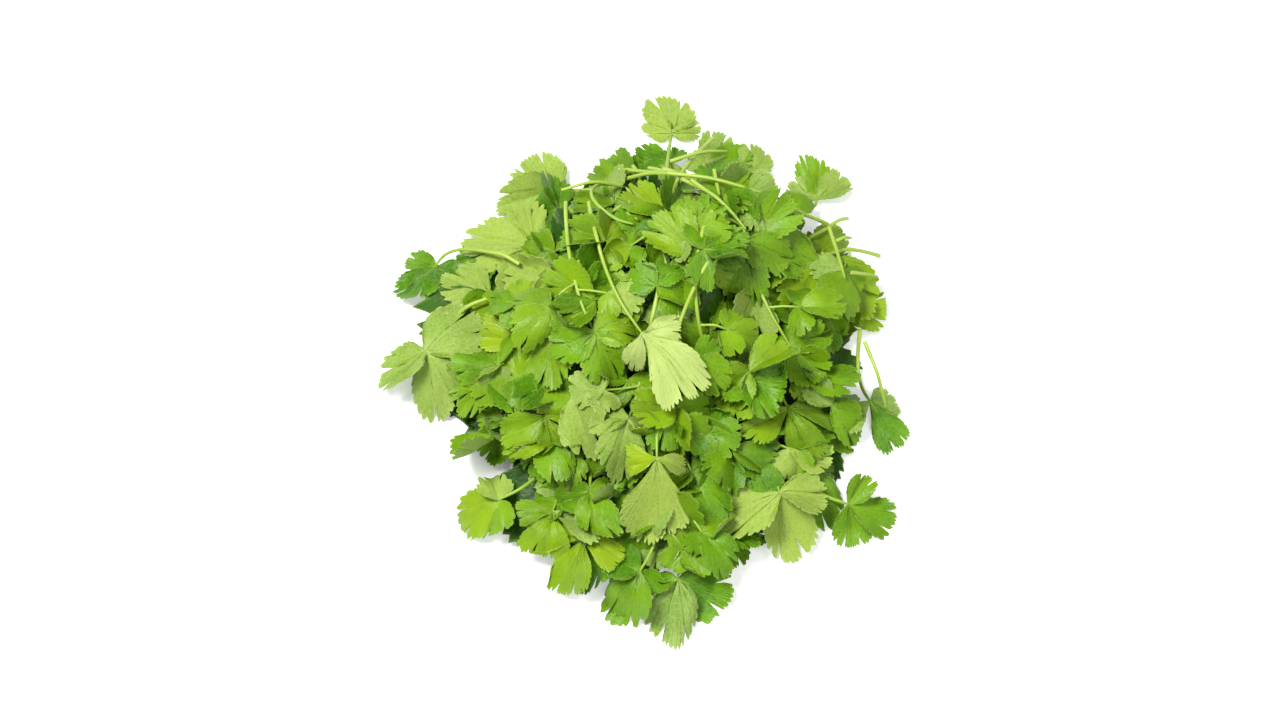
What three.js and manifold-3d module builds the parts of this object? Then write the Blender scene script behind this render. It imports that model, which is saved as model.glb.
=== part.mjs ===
// A loose bunch of cut coriander, lying as a heap on a flat surface.
//
// Every leafy stem is one body: a slender stem, its side stalks, and its leaves. A leaf is one thin blade,
// cut from its edge nearly to the hub into three fan-shaped leaflets with lobed, toothed edges. The stems are
// laid down one after the other, and each is bent clear of those beneath it, as it would come to rest.
//
// Millimetres, +Z up. X runs across the heap and Y from its leafy front to its back, where the stems gather.
// The origin is the middle of the heap's bounding box, on the surface that the heap lies on.

import * as THREE from "three";
import { mergeVertices } from "three/addons/utils/BufferGeometryUtils.js";
import Module from "manifold-3d";

// ---- Driving dimensions ----

const BLADE_THICKNESS = 0.7;
const BLADE_ROOM = 0.8 * BLADE_THICKNESS; // kept above and below a blade's middle: a steep one fits too
const LEAST_UPRIGHT = 0.5; // share of upright that a steep blade is thickened by at most
const TUBE_ROOM = 1.3; // kept above a stem's middle, in radii
const CUT_END_RADIUS = 0.95; // of a stem where it was cut
const TIP_RADIUS = 0.7; // of a stem where it meets its end leaf
const STALK_RADIUS = 0.55; // of a side leaf's stalk
const NECK_RADIUS = 0.25; // of a stem or stalk where it ends inside its leaf's hub
const NECK_LENGTH = 2.5;
const NECK_SINK = 0.4; // short of the hub's middle
const STEM_STEPS = 6;
const STALK_STEPS = 2;
const LONGEST_STEM = 62; // from a stem's cut end straight to its end leaf
const STEM_ARCH = [-5, 5]; // of its middle over its ends, at the top of the heap
const STEM_LEAD = 0.38; // share of that distance over which the stem points the way its end leaf does

const CLEARANCE = 0.4; // least air between two leafy stems
const STEEPEST_SLOPE = 0.9; // of what a leaf drapes over
const HEAP_HEIGHT = 24; // of the shape that the leaves follow before they are bent clear of each other
const HEAP_RADIUS = 118;
const HEAP_MIDDLE = { x: 4, y: 0 };
const SURFACE_HALF = 150; // half the width of the square of surface that the stems are laid on
const SURFACE_CELL = 1.25;
const GATHER = { x: 20, y: 64 }; // where the cut ends gather, at the heap's back
const GATHER_SPREAD = 26;

// ---- The leaf ----

const SPREAD = 84; // degrees between a side leaflet and the end one, as a rule
const END_LEAFLET_OFFSET = 0.3; // from the hub to the leaflet's base, as a share of its length
const SIDE_LEAFLET_OFFSET = 0.24;
const HUB_RADIUS = 1.3;
const RIB_MIDDLE = 0.34; // where the blade's inner corner stands on the rib
const SIDE_LEAF_SIZE = [0.62, 0.92]; // of a side leaf's length to the end leaf's
const SIDE_LEAF_BACK = [17, 25]; // from the end leaf's hub back to where a side leaf's stalk leaves the stem
const SIDE_LEAF_STEP = 19; // further back for the next pair of side leaves
const STALK_LENGTH = [10, 16];
const STALK_TURN = 62; // degrees between the stem and a side leaf's stalk

// The ranges that each leaflet's form is drawn from, as slopes.
const LEAFLET_TURN = [-5, 5]; // degrees
const END_LEAFLET_SIZE = [0.94, 1.06];
const SIDE_LEAFLET_SIZE = [0.55, 0.98]; // of a side leaflet's length to the end leaflet's
const LEAFLET_FAN = [0.84, 1.1]; // of its width
const LEAFLET_SLOPE = [-0.5, 0.45]; // along the rib, over the heap's own slope
const LEAFLET_ARCH = [-0.1, 0.6]; // downwards along the rib
const LEAFLET_CUP = [-0.5, 0.4]; // upwards across it
const LEAFLET_FOLD = [-0.25, 0.6]; // of both halves, up from the rib
const LEAFLET_ROLL = [-0.65, 0.65];
const LEAFLET_RIPPLE = [0.02, 0.06]; // of the edge
const RIPPLE_WAVES = 5; // round a full turn
const SLOPE_STEP = 8; // over which a leaflet follows the heap's own slope

// Points of a leaflet's edge as [degrees from its rib, share of its length].
const LOBED_EDGE = [
  [-46, 0.68], [-37, 0.95], [-23, 0.99], [-15, 0.64], [-8, 1.02],
  [8, 1.04], [15, 0.64], [23, 0.99], [37, 0.95], [46, 0.68],
];
const FAN_EDGE = [
  [-38, 0.84], [-29, 1.0], [-17, 0.97], [-9, 0.84], [0, 1.04],
  [9, 0.84], [17, 0.97], [29, 1.0], [38, 0.84],
];
const PLAIN_EDGE = [[-43, 0.78], [-25, 1.0], [-14, 0.7], [0, 1.06], [14, 0.7], [25, 1.0], [43, 0.78]];
const SMALL_EDGE = [[-38, 0.9], [-16, 0.7], [0, 1.05], [16, 0.7], [38, 0.9]];

// ---- The heap, in the order it was laid down ----

const UNDER_STEMS = 10; // laid down first, by rule
const UNDER_REACH = 66; // of the outermost of them from the heap's middle
const UNDER_FIRST = 0.6; // the first one's place along the spiral, in steps
const UNDER_SHIFT = 2; // of them all, along +Y
const UNDER_FACING = [-35, 35]; // degrees off straight outwards
const UNDER_SEED = 101;
const UNDER_LEAF = [27, 32];
const UNDER_RELIEF = 0.4;
const UNDER_LEVEL = 0.7; // share of the heap's height that the last of them lies at
const SHOWN_RELIEF = 0.9;
const SHOWN_LEVEL = 0.9;
const GOLDEN_ANGLE = 137.5;

// Stems that show: where the end leaf's hub lies, the way the end leaf points (in degrees, 0 along +X and 90
// along +Y) and the length of its end leaflet. Where these aren't as usual: on which sides of the stem more
// leaves stand in turn (1 is left, -1 right), the leaf's edge, the turn between its leaflets in degrees, the
// size of the side ones as a share of the usual, and the place of the cut end.
const SHOWN_STEMS = [
  { name: "left_tip", x: -74, y: 12, facing: 186, leaf: 15, edge: PLAIN_EDGE },
  { name: "left_edge", x: -65, y: 50, facing: 165, leaf: 17, edge: PLAIN_EDGE },
  { name: "top_curled", x: 30, y: 95, facing: 78, leaf: 17, edge: PLAIN_EDGE, spread: 66 },
  { name: "top_small", x: 50, y: 91, facing: 76, leaf: 15, edge: PLAIN_EDGE, wings: 0.65 },
  { name: "top_left", x: -3, y: 88, facing: 135, leaf: 13, edge: PLAIN_EDGE },
  { name: "top_middle", x: 14, y: 94, facing: 165, leaf: 15, sides: [-1], edge: PLAIN_EDGE },
  { name: "back_low", x: 14, y: 66, facing: 85, leaf: 17, sides: [1], edge: PLAIN_EDGE },
  { name: "right_shoulder", x: 83, y: 49, facing: 104, leaf: 17, sides: [1], edge: PLAIN_EDGE },
  { name: "bottom_shoulder", x: 70, y: -50, facing: -62, leaf: 21, sides: [-1, 1], edge: PLAIN_EDGE },
  {
    name: "back_left", x: -36, y: 81, facing: 186, leaf: 22, sides: [1], spread: 62, wings: 1.1,
    from: { x: -2, y: 82 },
  },
  {
    name: "back_right", x: 78, y: 79, facing: 90, leaf: 19, spread: 56, wings: 1.2,
    from: { x: 44, y: 80 },
  },
  { name: "right_edge", x: 87, y: 26, facing: 4, leaf: 18, sides: [-1] },
  {
    name: "right_low", x: 99, y: -16, facing: -58, leaf: 21, edge: FAN_EDGE, wings: 1.1,
    from: { x: 95, y: 14 },
  },
  {
    name: "right_bottom", x: 89, y: -63, facing: -12, leaf: 18, spread: 70, wings: 1.2,
    from: { x: 69, y: -56 },
  },
  { name: "bottom_right", x: 59, y: -62, facing: -76, leaf: 21, sides: [1], spread: 72, wings: 1.3 },
  { name: "bottom_tip", x: 16, y: -96, facing: -94, leaf: 22, sides: [-1], spread: 76, wings: 1.15 },
  { name: "bottom_low", x: 0, y: -95, facing: -122, leaf: 19, sides: [1], edge: PLAIN_EDGE },
  { name: "bottom_side", x: 26, y: -80, facing: -52, leaf: 15, edge: PLAIN_EDGE },
  { name: "bottom_left", x: -24, y: -82, facing: -114, leaf: 22, edge: FAN_EDGE },
  { name: "low_left", x: -37, y: -70, facing: -104, leaf: 21, edge: FAN_EDGE },
  { name: "low_tip", x: -60, y: -63, facing: 194, leaf: 17, edge: PLAIN_EDGE },
  { name: "left_low", x: -58, y: -27, facing: -100, leaf: 18, sides: [-1] },
  { name: "back_middle", x: -17, y: 64, facing: 215, leaf: 16, sides: [1, -1], edge: PLAIN_EDGE },
  { name: "right_back", x: 65, y: 48, facing: 215, leaf: 18, sides: [-1], from: { x: 91, y: 69 } },
  {
    name: "left_large", x: -46, y: 52, facing: 184, leaf: 24, sides: [1], spread: 74, wings: 1.25,
    from: { x: -8, y: 68 },
  },
  { name: "left_middle", x: -50, y: 13, facing: 205, leaf: 21, sides: [-1], edge: FAN_EDGE, spread: 74 },
  {
    name: "left_sprig", x: -90, y: 47, facing: 240, leaf: 17, spread: 75, wings: 0.85,
    from: { x: -52, y: 40 },
  },
  {
    name: "left_pair", x: -92, y: 2, facing: -62, leaf: 21, spread: 98, wings: 1.25,
    from: { x: -66, y: 25 },
  },
  { name: "top_leaf", x: 14, y: 112, facing: 84, leaf: 20, wings: 0.6, from: { x: 10, y: 63 } },
  {
    name: "long_hanging", x: -48, y: 3, facing: 250, leaf: 25, sides: [1], edge: FAN_EDGE,
    spread: 78, wings: 0.75,
  },
  { name: "front_low", x: -21, y: -63, facing: -88, leaf: 20, sides: [-1] },
  { name: "front_right", x: 45, y: -44, facing: -70, leaf: 20, sides: [1] },
  {
    name: "right_front", x: 63, y: -26, facing: -64, leaf: 24, sides: [1, -1], edge: FAN_EDGE,
    wings: 1.1,
  },
  {
    name: "right_large", x: 78, y: 42, facing: 250, leaf: 25, sides: [1], spread: 72, wings: 1.2,
    from: { x: 105, y: 53 },
  },
  { name: "right_middle", x: 64, y: 2, facing: -50, leaf: 19, sides: [1] },
  {
    name: "front_left", x: -40, y: -31, facing: -72, leaf: 24, sides: [1, -1], edge: FAN_EDGE,
    wings: 0.8,
  },
  { name: "back_pale", x: 44, y: 68, facing: -45, leaf: 16, from: { x: 10, y: 84 } },
  {
    name: "back_crossing", x: 14, y: 49, facing: -55, leaf: 23, edge: FAN_EDGE, wings: 0.8,
    from: { x: -3, y: 90 },
  },
  { name: "left_centre", x: -21, y: 30, facing: 208, leaf: 20, sides: [-1, 1] },
  { name: "right_centre", x: 45, y: 44, facing: -97, leaf: 22, sides: [1], spread: 70, wings: 1.1 },
  { name: "front_middle", x: 22, y: -54, facing: -62, leaf: 19, sides: [-1, 1] },
  { name: "bright_left", x: -38, y: 1, facing: -2, leaf: 21, sides: [-1] },
  { name: "middle_back", x: 12, y: 26, facing: -70, leaf: 18, sides: [1, -1], from: { x: 32, y: 103 } },
  { name: "front_centre", x: -5, y: -37, facing: -104, leaf: 19, sides: [-1] },
  { name: "right_inner", x: 35, y: -12, facing: -40, leaf: 18, sides: [1] },
  { name: "bright_middle", x: -19, y: 0, facing: -62, leaf: 19, sides: [1, -1], from: { x: -32, y: 65 } },
  { name: "front_fan", x: 7, y: -54, facing: -88, leaf: 29, edge: FAN_EDGE, spread: 80, wings: 0.7 },
  { name: "under_crown", x: 12, y: -27, facing: -84, leaf: 18, sides: [1] },
  {
    name: "crown", x: 1, y: -2, facing: -50, leaf: 27, edge: FAN_EDGE, spread: 66, wings: 0.7,
    from: { x: -22, y: 64 },
  },
];

const radians = THREE.MathUtils.degToRad;

// A small seeded generator of numbers between 0 and 1, so that the heap is the same each time.
function generator(seed) {
  let state = (seed * 2654435761) >>> 0;
  const next = () => {
    state = (Math.imul(state, 1664525) + 1013904223) >>> 0;
    return state / 4294967296;
  };
  next();
  return next;
}

function between(random, [low, high]) {
  return low + (high - low) * random();
}

// The tops of what has been laid down so far, on a grid of square cells.
class HeightField {
  constructor(halfWidth, cell) {
    this.cell = cell;
    this.halfWidth = halfWidth;
    this.count = Math.ceil((2 * halfWidth) / cell);
    this.tops = new Float64Array(this.count * this.count).fill(-CLEARANCE);
  }

  column(value) {
    const index = Math.floor((value + this.halfWidth) / this.cell);
    return Math.min(this.count - 2, Math.max(1, index));
  }

  top(x, y) {
    return this.tops[this.column(y) * this.count + this.column(x)];
  }

  // Raises a cell and its neighbours, so that bodies keep their distance sideways too.
  raise(x, y, z) {
    const row = this.column(y);
    const column = this.column(x);
    for (let r = row - 1; r <= row + 1; r++)
      for (let c = column - 1; c <= column + 1; c++) {
        const at = r * this.count + c;
        if (this.tops[at] < z) this.tops[at] = z;
      }
  }

  // Fills the foot of every cliff with a slope, so that what comes next drapes over it.
  slopeCliffs() {
    const drop = STEEPEST_SLOPE * this.cell;
    const ease = (start, stride) => {
      for (let i = 1; i < this.count; i++) {
        const at = start + i * stride;
        this.tops[at] = Math.max(this.tops[at], this.tops[at - stride] - drop);
      }
    };
    for (let i = 0; i < this.count; i++) {
      const last = this.count - 1;
      ease(i * this.count, 1);
      ease(i * this.count + last, -1);
    }
    for (let i = 0; i < this.count; i++) {
      const last = (this.count - 1) * this.count;
      ease(i, this.count);
      ease(i + last, -this.count);
    }
  }
}

// The heap's smooth outer shape: its height over a place on the surface.
function heapHeight(x, y) {
  const share = Math.hypot(x - HEAP_MIDDLE.x, y - HEAP_MIDDLE.y) / HEAP_RADIUS;
  return HEAP_HEIGHT * Math.max(0, 1 - share * share);
}

// ---- Bending clear ----

const SAMPLE = 0.9; // spacing of the points where bodies are held apart
const SETTLING_PASSES = 8;

// Raises corners until each cell, a straight step or a flat facet between some of them, clears the field by
// the room. A cell is its corners' numbers and its samples, each as [shares of its corners, x, y].
function bendClear(field, corners, cells, room) {
  const ceiling = corners.map(() => 0);
  for (const cell of cells) {
    cell.floors = cell.samples.map(([, x, y]) => field.top(x, y) + room);
    const highest = Math.max(...cell.floors);
    for (const i of cell.corners) ceiling[i] = Math.max(ceiling[i], highest);
  }
  for (let pass = 0; pass <= SETTLING_PASSES; pass++)
    for (const cell of cells) {
      let missing = 0;
      let worst = null;
      cell.samples.forEach(([shares], n) => {
        const height = shares.reduce((sum, share, k) => sum + share * corners[cell.corners[k]].z, 0);
        if (cell.floors[n] - height <= missing) return;
        missing = cell.floors[n] - height;
        worst = shares;
      });
      if (!worst) continue;
      const spread = worst.reduce((sum, share) => sum + share * share, 0);
      cell.corners.forEach((i, k) => {
        const corner = corners[i];
        if (pass === SETTLING_PASSES) corner.z += missing;
        else corner.z = Math.max(corner.z, Math.min(ceiling[i], corner.z + (missing * worst[k]) / spread));
      });
    }
}

// A straight step of a stem as a cell, sampled along its middle and both sides.
function stepCell(points, i, radius) {
  const [from, to] = [points[i], points[i + 1]];
  const length = Math.hypot(to.x - from.x, to.y - from.y);
  const count = Math.max(1, Math.ceil(length / SAMPLE));
  const across = { x: -(to.y - from.y) / length, y: (to.x - from.x) / length };
  const samples = [];
  for (let j = 0; j <= count; j++)
    for (const offset of [-radius, 0, radius]) {
      const share = j / count;
      const x = from.x + (to.x - from.x) * share + across.x * offset;
      const y = from.y + (to.y - from.y) * share + across.y * offset;
      samples.push([[1 - share, share], x, y]);
    }
  return { corners: [i, i + 1], samples };
}

// A facet of a blade as a cell, sampled all over.
function facetCell(corners, facet) {
  const [a, b, c] = facet.map((i) => corners[i]);
  const side = (p, q) => Math.hypot(p.x - q.x, p.y - q.y);
  const count = Math.ceil(Math.max(side(a, b), side(b, c), side(c, a)) / SAMPLE);
  const samples = [];
  for (let i = 0; i <= count; i++)
    for (let j = 0; i + j <= count; j++) {
      const s = i / count;
      const t = j / count;
      const r = 1 - s - t;
      samples.push([[r, s, t], a.x * r + b.x * s + c.x * t, a.y * r + b.y * s + c.y * t]);
    }
  return { corners: facet, samples };
}

// Raises the field to what was laid down.
function raiseField(field, corners, cells, thickness) {
  for (const cell of cells)
    for (const [shares, x, y] of cell.samples) {
      const height = shares.reduce((sum, share, k) => sum + share * corners[cell.corners[k]].z, 0);
      field.raise(x, y, height + thickness);
    }
}

// ---- Stems ----

// A stem's course: a cubic curve from its cut end to its leaf's hub, where it points as the leaf does.
function stemCourse(from, hub, facing, arch) {
  const start = new THREE.Vector2(from.x, from.y);
  const end = new THREE.Vector2(hub.x, hub.y);
  const back = start.distanceTo(end) * STEM_LEAD;
  const lead = new THREE.Vector2(hub.x - Math.cos(facing) * back, hub.y - Math.sin(facing) * back);
  const curve = new THREE.CubicBezierCurve(start, start.clone().lerp(lead, STEM_LEAD), lead, end);
  const points = [];
  for (let i = 0; i <= STEM_STEPS; i++) {
    const share = i / STEM_STEPS;
    const at = curve.getPoint(share);
    const z = from.z + (hub.z - from.z) * share + 4 * arch * share * (1 - share);
    points.push({ x: at.x, y: at.y, z: Math.max(z, CUT_END_RADIUS) });
  }
  return points;
}

// A side leaf's stalk, straight out from the stem and down with the heap's slope.
function stalkCourse(root, turn, reach) {
  const end = { x: root.x + reach * Math.cos(turn), y: root.y + reach * Math.sin(turn) };
  const fall = Math.min(0, heapHeight(end.x, end.y) - heapHeight(root.x, root.y));
  const points = [];
  for (let i = 0; i <= STALK_STEPS; i++) {
    const share = i / STALK_STEPS;
    points.push({
      x: root.x + (end.x - root.x) * share,
      y: root.y + (end.y - root.y) * share,
      z: Math.max(root.z + fall * share, STALK_RADIUS),
    });
  }
  return points;
}

// The cells between a course's points.
function courseCells(points, radius) {
  return points.slice(1).map((_, i) => stepCell(points, i, radius));
}

// The place at a distance back from a stem's end, with the stem's direction there.
function placeOnStem(points, back) {
  let left = back;
  for (let i = points.length - 1; i > 0; i--) {
    const [a, b] = [points[i - 1], points[i]];
    const length = Math.hypot(b.x - a.x, b.y - a.y);
    if (left <= length || i === 1) {
      const share = Math.min(1, left / length);
      const at = { x: b.x + (a.x - b.x) * share, y: b.y + (a.y - b.y) * share, z: b.z + (a.z - b.z) * share };
      return { ...at, turn: Math.atan2(b.y - a.y, b.x - a.x) };
    }
    left -= length;
  }
}

// A course's points with the radius at each, narrowing to a neck that ends inside the leaf's hub. A tube
// tapers at its top and sides, so that it lies flat where its course is level.
function withNeck(points, startRadius, endRadius) {
  const rings = points.map((p, i) => {
    const narrowed = ((startRadius - endRadius) * i) / (points.length - 1);
    return { x: p.x, y: p.y, z: p.z - narrowed, radius: startRadius - narrowed };
  });
  const hub = points[points.length - 1];
  rings.pop();
  const last = rings[rings.length - 1];
  const length = Math.hypot(hub.x - last.x, hub.y - last.y, hub.z - last.z);
  const before = (distance, radius) => {
    const share = distance / length;
    return {
      x: hub.x + (last.x - hub.x) * share,
      y: hub.y + (last.y - hub.y) * share,
      z: hub.z + (last.z - hub.z) * share,
      radius,
    };
  };
  return [...rings, before(NECK_LENGTH, endRadius), before(NECK_SINK, NECK_RADIUS)];
}

// A closed four-sided tube along straight steps, with a flat side underneath.
function tube(rings) {
  const positions = [];
  const index = [];
  rings.forEach((ring, i) => {
    const before = rings[Math.max(0, i - 1)];
    const after = rings[Math.min(rings.length - 1, i + 1)];
    const along = new THREE.Vector3(after.x - before.x, after.y - before.y, after.z - before.z).normalize();
    const across = new THREE.Vector3(along.y, -along.x, 0).normalize();
    const up = new THREE.Vector3().crossVectors(across, along);
    for (const [side, rise] of [[-1, -1], [1, -1], [1, 1], [-1, 1]]) {
      const corner = new THREE.Vector3(ring.x, ring.y, ring.z)
        .addScaledVector(across, side * ring.radius)
        .addScaledVector(up, rise * ring.radius);
      positions.push(corner.x, corner.y, corner.z);
    }
  });
  for (let i = 0; i + 1 < rings.length; i++)
    for (let k = 0; k < 4; k++) {
      const a = i * 4 + k;
      const b = i * 4 + ((k + 1) % 4);
      index.push(a, a + 4, b, b, a + 4, b + 4);
    }
  const end = (rings.length - 1) * 4;
  index.push(0, 1, 2, 0, 2, 3, end, end + 2, end + 1, end, end + 3, end + 2);
  return bodyOf(positions, index);
}

// ---- Leaves ----

// How one leaflet is shaped and lies, drawn once for each. Lengths are shares of its own.
function leafletShape(random, turn, hub, { length, edge, relief, spread }, size, offset) {
  const out = { x: hub.x + SLOPE_STEP * Math.cos(turn), y: hub.y + SLOPE_STEP * Math.sin(turn) };
  const fall = (heapHeight(out.x, out.y) - heapHeight(hub.x, hub.y)) / SLOPE_STEP;
  return {
    turn: turn + radians(between(random, LEAFLET_TURN)),
    length: length * between(random, size),
    fan: between(random, LEAFLET_FAN) * Math.min(1, (spread / SPREAD) ** 0.6),
    edge,
    offset,
    slope: fall + relief * between(random, LEAFLET_SLOPE),
    arch: relief * between(random, LEAFLET_ARCH),
    cup: relief * between(random, LEAFLET_CUP),
    fold: relief * between(random, LEAFLET_FOLD),
    roll: relief * between(random, LEAFLET_ROLL),
    ripple: relief * between(random, LEAFLET_RIPPLE),
    phase: 2 * Math.PI * random(),
  };
}

// A leaflet's height over its hub, at a point along and across its rib.
function leafletHeight(shape, along, across) {
  const reach = Math.hypot(along, across) / shape.length;
  const turn = Math.atan2(across, along);
  return (
    shape.slope * along -
    (shape.arch * along * along) / shape.length +
    (shape.cup * across * across) / shape.length +
    shape.fold * Math.abs(across) +
    shape.roll * across +
    shape.ripple * shape.length * reach * reach * Math.sin(RIPPLE_WAVES * turn + shape.phase)
  );
}

// A whole leaf as corners in the middle of the blade's thickness, the facets between them, and the outline.
// Corners 0 to 3 stand round the hub. Each leaflet adds its edge and an inner corner on its rib.
function leafMesh(hub, facing, shapes) {
  const corners = [-3, -1, 1, 3].map((quarter) => {
    const turn = facing + (quarter * Math.PI) / 4;
    return { x: hub.x + HUB_RADIUS * Math.cos(turn), y: hub.y + HUB_RADIUS * Math.sin(turn), z: hub.z };
  });
  const facets = [[0, 1, 2], [0, 2, 3]];
  const outline = [0];
  shapes.forEach((shape, n) => {
    const squeeze = 1 / Math.hypot(1, shape.slope - shape.arch);
    const place = (along, across) => {
      const out = along * squeeze;
      const aside = across / Math.hypot(1, shape.roll + Math.sign(across) * shape.fold);
      corners.push({
        x: hub.x + out * Math.cos(shape.turn) - aside * Math.sin(shape.turn),
        y: hub.y + out * Math.sin(shape.turn) + aside * Math.cos(shape.turn),
        z: Math.max(hub.z + leafletHeight(shape, along, across), BLADE_THICKNESS),
      });
      return corners.length - 1;
    };
    const base = shape.offset * shape.length;
    const edge = shape.edge.map(([degrees, share]) => {
      const reach = share * shape.length;
      const turn = radians(degrees * shape.fan);
      return place(base + reach * Math.cos(turn), reach * Math.sin(turn));
    });
    const middle = place(base + RIB_MIDDLE * shape.length, 0);
    const round = [n, ...edge, n + 1];
    round.forEach((corner, i) => facets.push([middle, corner, round[(i + 1) % round.length]]));
    outline.push(...edge, n + 1);
  });
  return { corners, facets, outline };
}

// The closed blade: the same facets above and below, thicker upright where it is steep, and a wall round it.
function bladeBody({ corners, facets, outline }) {
  const normals = corners.map(() => new THREE.Vector3());
  const at = corners.map(({ x, y, z }) => new THREE.Vector3(x, y, z));
  for (const [a, b, c] of facets) {
    const across = new THREE.Vector3().crossVectors(at[b].clone().sub(at[a]), at[c].clone().sub(at[a]));
    for (const i of [a, b, c]) normals[i].add(across);
  }
  const positions = [];
  for (const sign of [1, -1])
    corners.forEach(({ x, y, z }, i) => {
      const upright = Math.max(LEAST_UPRIGHT, Math.abs(normals[i].normalize().z));
      positions.push(x, y, z + (sign * BLADE_THICKNESS) / 2 / upright);
    });
  const under = corners.length;
  const index = [];
  for (const [a, b, c] of facets) index.push(a, b, c, under + a, under + c, under + b);
  outline.forEach((a, i) => {
    const b = outline[(i + 1) % outline.length];
    index.push(a, under + a, b, b, under + a, under + b);
  });
  return bodyOf(positions, index);
}

// ---- Whole stems ----

// Lays a leaf at the end of its course, which rises with it, and raises the field by both.
function layLeaf(field, course, radius, facing, leaf, random) {
  const hub = course[course.length - 1];
  const cells = courseCells(course, radius);
  bendClear(field, course, cells, radius + CLEARANCE);
  const side = radians(leaf.spread);
  const wings = SIDE_LEAFLET_SIZE.map((share) => share * leaf.wings);
  const shapes = [
    leafletShape(random, facing - side, hub, leaf, wings, SIDE_LEAFLET_OFFSET),
    leafletShape(random, facing, hub, leaf, END_LEAFLET_SIZE, END_LEAFLET_OFFSET),
    leafletShape(random, facing + side, hub, leaf, wings, SIDE_LEAFLET_OFFSET),
  ];
  const blade = leafMesh(hub, facing, shapes);
  const bladeCells = blade.facets.map((facet) => facetCell(blade.corners, facet));
  bendClear(field, blade.corners, bladeCells, CLEARANCE + BLADE_ROOM);
  const level = Math.max(hub.z, ...blade.corners.slice(0, 4).map((c) => c.z));
  hub.z = level;
  for (const c of blade.corners.slice(0, 4)) c.z = level;
  raiseField(field, blade.corners, bladeCells, BLADE_ROOM);
  raiseField(field, course, cells, TUBE_ROOM * radius);
  field.slopeCliffs();
  return blade;
}

// Lays one leafy stem on the heap and returns its tubes and blades.
function layStem(field, spec, random) {
  const hub = { x: spec.x, y: spec.y, z: spec.level * heapHeight(spec.x, spec.y) };
  const from = { ...spec.from, z: spec.level * heapHeight(spec.from.x, spec.from.y) };
  const facing = radians(spec.facing);
  const course = stemCourse(from, hub, facing, spec.level * between(random, STEM_ARCH));
  const endLeaf = { ...spec, length: spec.leaf };
  const blades = [layLeaf(field, course, CUT_END_RADIUS, facing, endLeaf, random)];
  const tubes = [];
  spec.sides.forEach((side, i) => {
    const back = between(random, SIDE_LEAF_BACK) + SIDE_LEAF_STEP * Math.floor(i / 2);
    const root = placeOnStem(course, back);
    const turn = root.turn + side * radians(STALK_TURN);
    const stalk = stalkCourse(root, turn, between(random, STALK_LENGTH));
    const length = spec.leaf * between(random, SIDE_LEAF_SIZE);
    const sideLeaf = { length, edge: SMALL_EDGE, relief: spec.relief, spread: SPREAD, wings: 1 };
    blades.push(layLeaf(field, stalk, STALK_RADIUS, turn, sideLeaf, random));
    stalk[0].z = root.z;
    tubes.push(withNeck(stalk, STALK_RADIUS, STALK_RADIUS));
  });
  return { tubes: [withNeck(course, CUT_END_RADIUS, TIP_RADIUS), ...tubes], blades };
}

// The stems beneath, by rule: their leaves stand round the heap on a sunflower's spiral.
function underStems() {
  return Array.from({ length: UNDER_STEMS }, (_, i) => {
    const random = generator(UNDER_SEED + i);
    const turn = i * GOLDEN_ANGLE;
    const reach = UNDER_REACH * Math.sqrt((i + UNDER_FIRST) / UNDER_STEMS);
    return {
      name: "under_" + String(i + 1).padStart(2, "0"),
      x: reach * Math.cos(radians(turn)),
      y: reach * Math.sin(radians(turn)) + UNDER_SHIFT,
      facing: turn + between(random, UNDER_FACING),
      leaf: between(random, UNDER_LEAF),
      sides: [],
      level: (UNDER_LEVEL * i) / UNDER_STEMS,
      edge: PLAIN_EDGE,
      relief: UNDER_RELIEF,
      spread: SPREAD,
      wings: 1,
    };
  });
}

// Where a stem was cut: in the gathered ends, or on the way there when they are too far away.
function cutEnd(spec, random) {
  const around = 2 * Math.PI * random();
  const out = GATHER_SPREAD * Math.sqrt(random());
  const end = { x: GATHER.x + out * Math.cos(around), y: GATHER.y + out * Math.sin(around) };
  const away = Math.hypot(end.x - spec.x, end.y - spec.y);
  const share = Math.min(1, LONGEST_STEM / away);
  return { x: spec.x + (end.x - spec.x) * share, y: spec.y + (end.y - spec.y) * share };
}

// ---- Solids ----

const FINEST_EDGE = 0.03; // edges shorter than this are closed up where bodies are joined

const wasm = await Module();
wasm.setup();

// A closed surface as a solid.
function bodyOf(positions, index) {
  const geometry = new THREE.BufferGeometry()
    .setAttribute("position", new THREE.Float32BufferAttribute(positions, 3))
    .setIndex(index);
  const merged = mergeVertices(geometry, 1e-4);
  return new wasm.Manifold(
    new wasm.Mesh({
      numProp: 3,
      vertProperties: merged.attributes.position.array,
      triVerts: new Uint32Array(merged.index.array),
      tolerance: FINEST_EDGE,
    }),
  );
}

function geometryOf(solid) {
  const mesh = solid.getMesh();
  const count = mesh.numProp;
  const vertices = new Float32Array(mesh.numVert * 3);
  for (let i = 0; i < mesh.numVert; i++)
    vertices.set(mesh.vertProperties.subarray(i * count, i * count + 3), i * 3);
  const geometry = new THREE.BufferGeometry()
    .setAttribute("position", new THREE.BufferAttribute(vertices, 3))
    .setIndex(new THREE.BufferAttribute(mesh.triVerts, 1));
  geometry.computeVertexNormals();
  return geometry;
}

// Joins a stem's tubes and blades into one body.
function leafyStem({ tubes, blades }) {
  const parts = [...tubes.map(tube), ...blades.map(bladeBody)];
  const bodies = wasm.Manifold.union(parts).decompose();
  return bodies.reduce((largest, body) => (body.volume() > largest.volume() ? body : largest));
}

const LEAF_GREEN = new THREE.Color(0x4f9426);
const YELLOW_GREEN = new THREE.Color(0x9cb84a);

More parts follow.
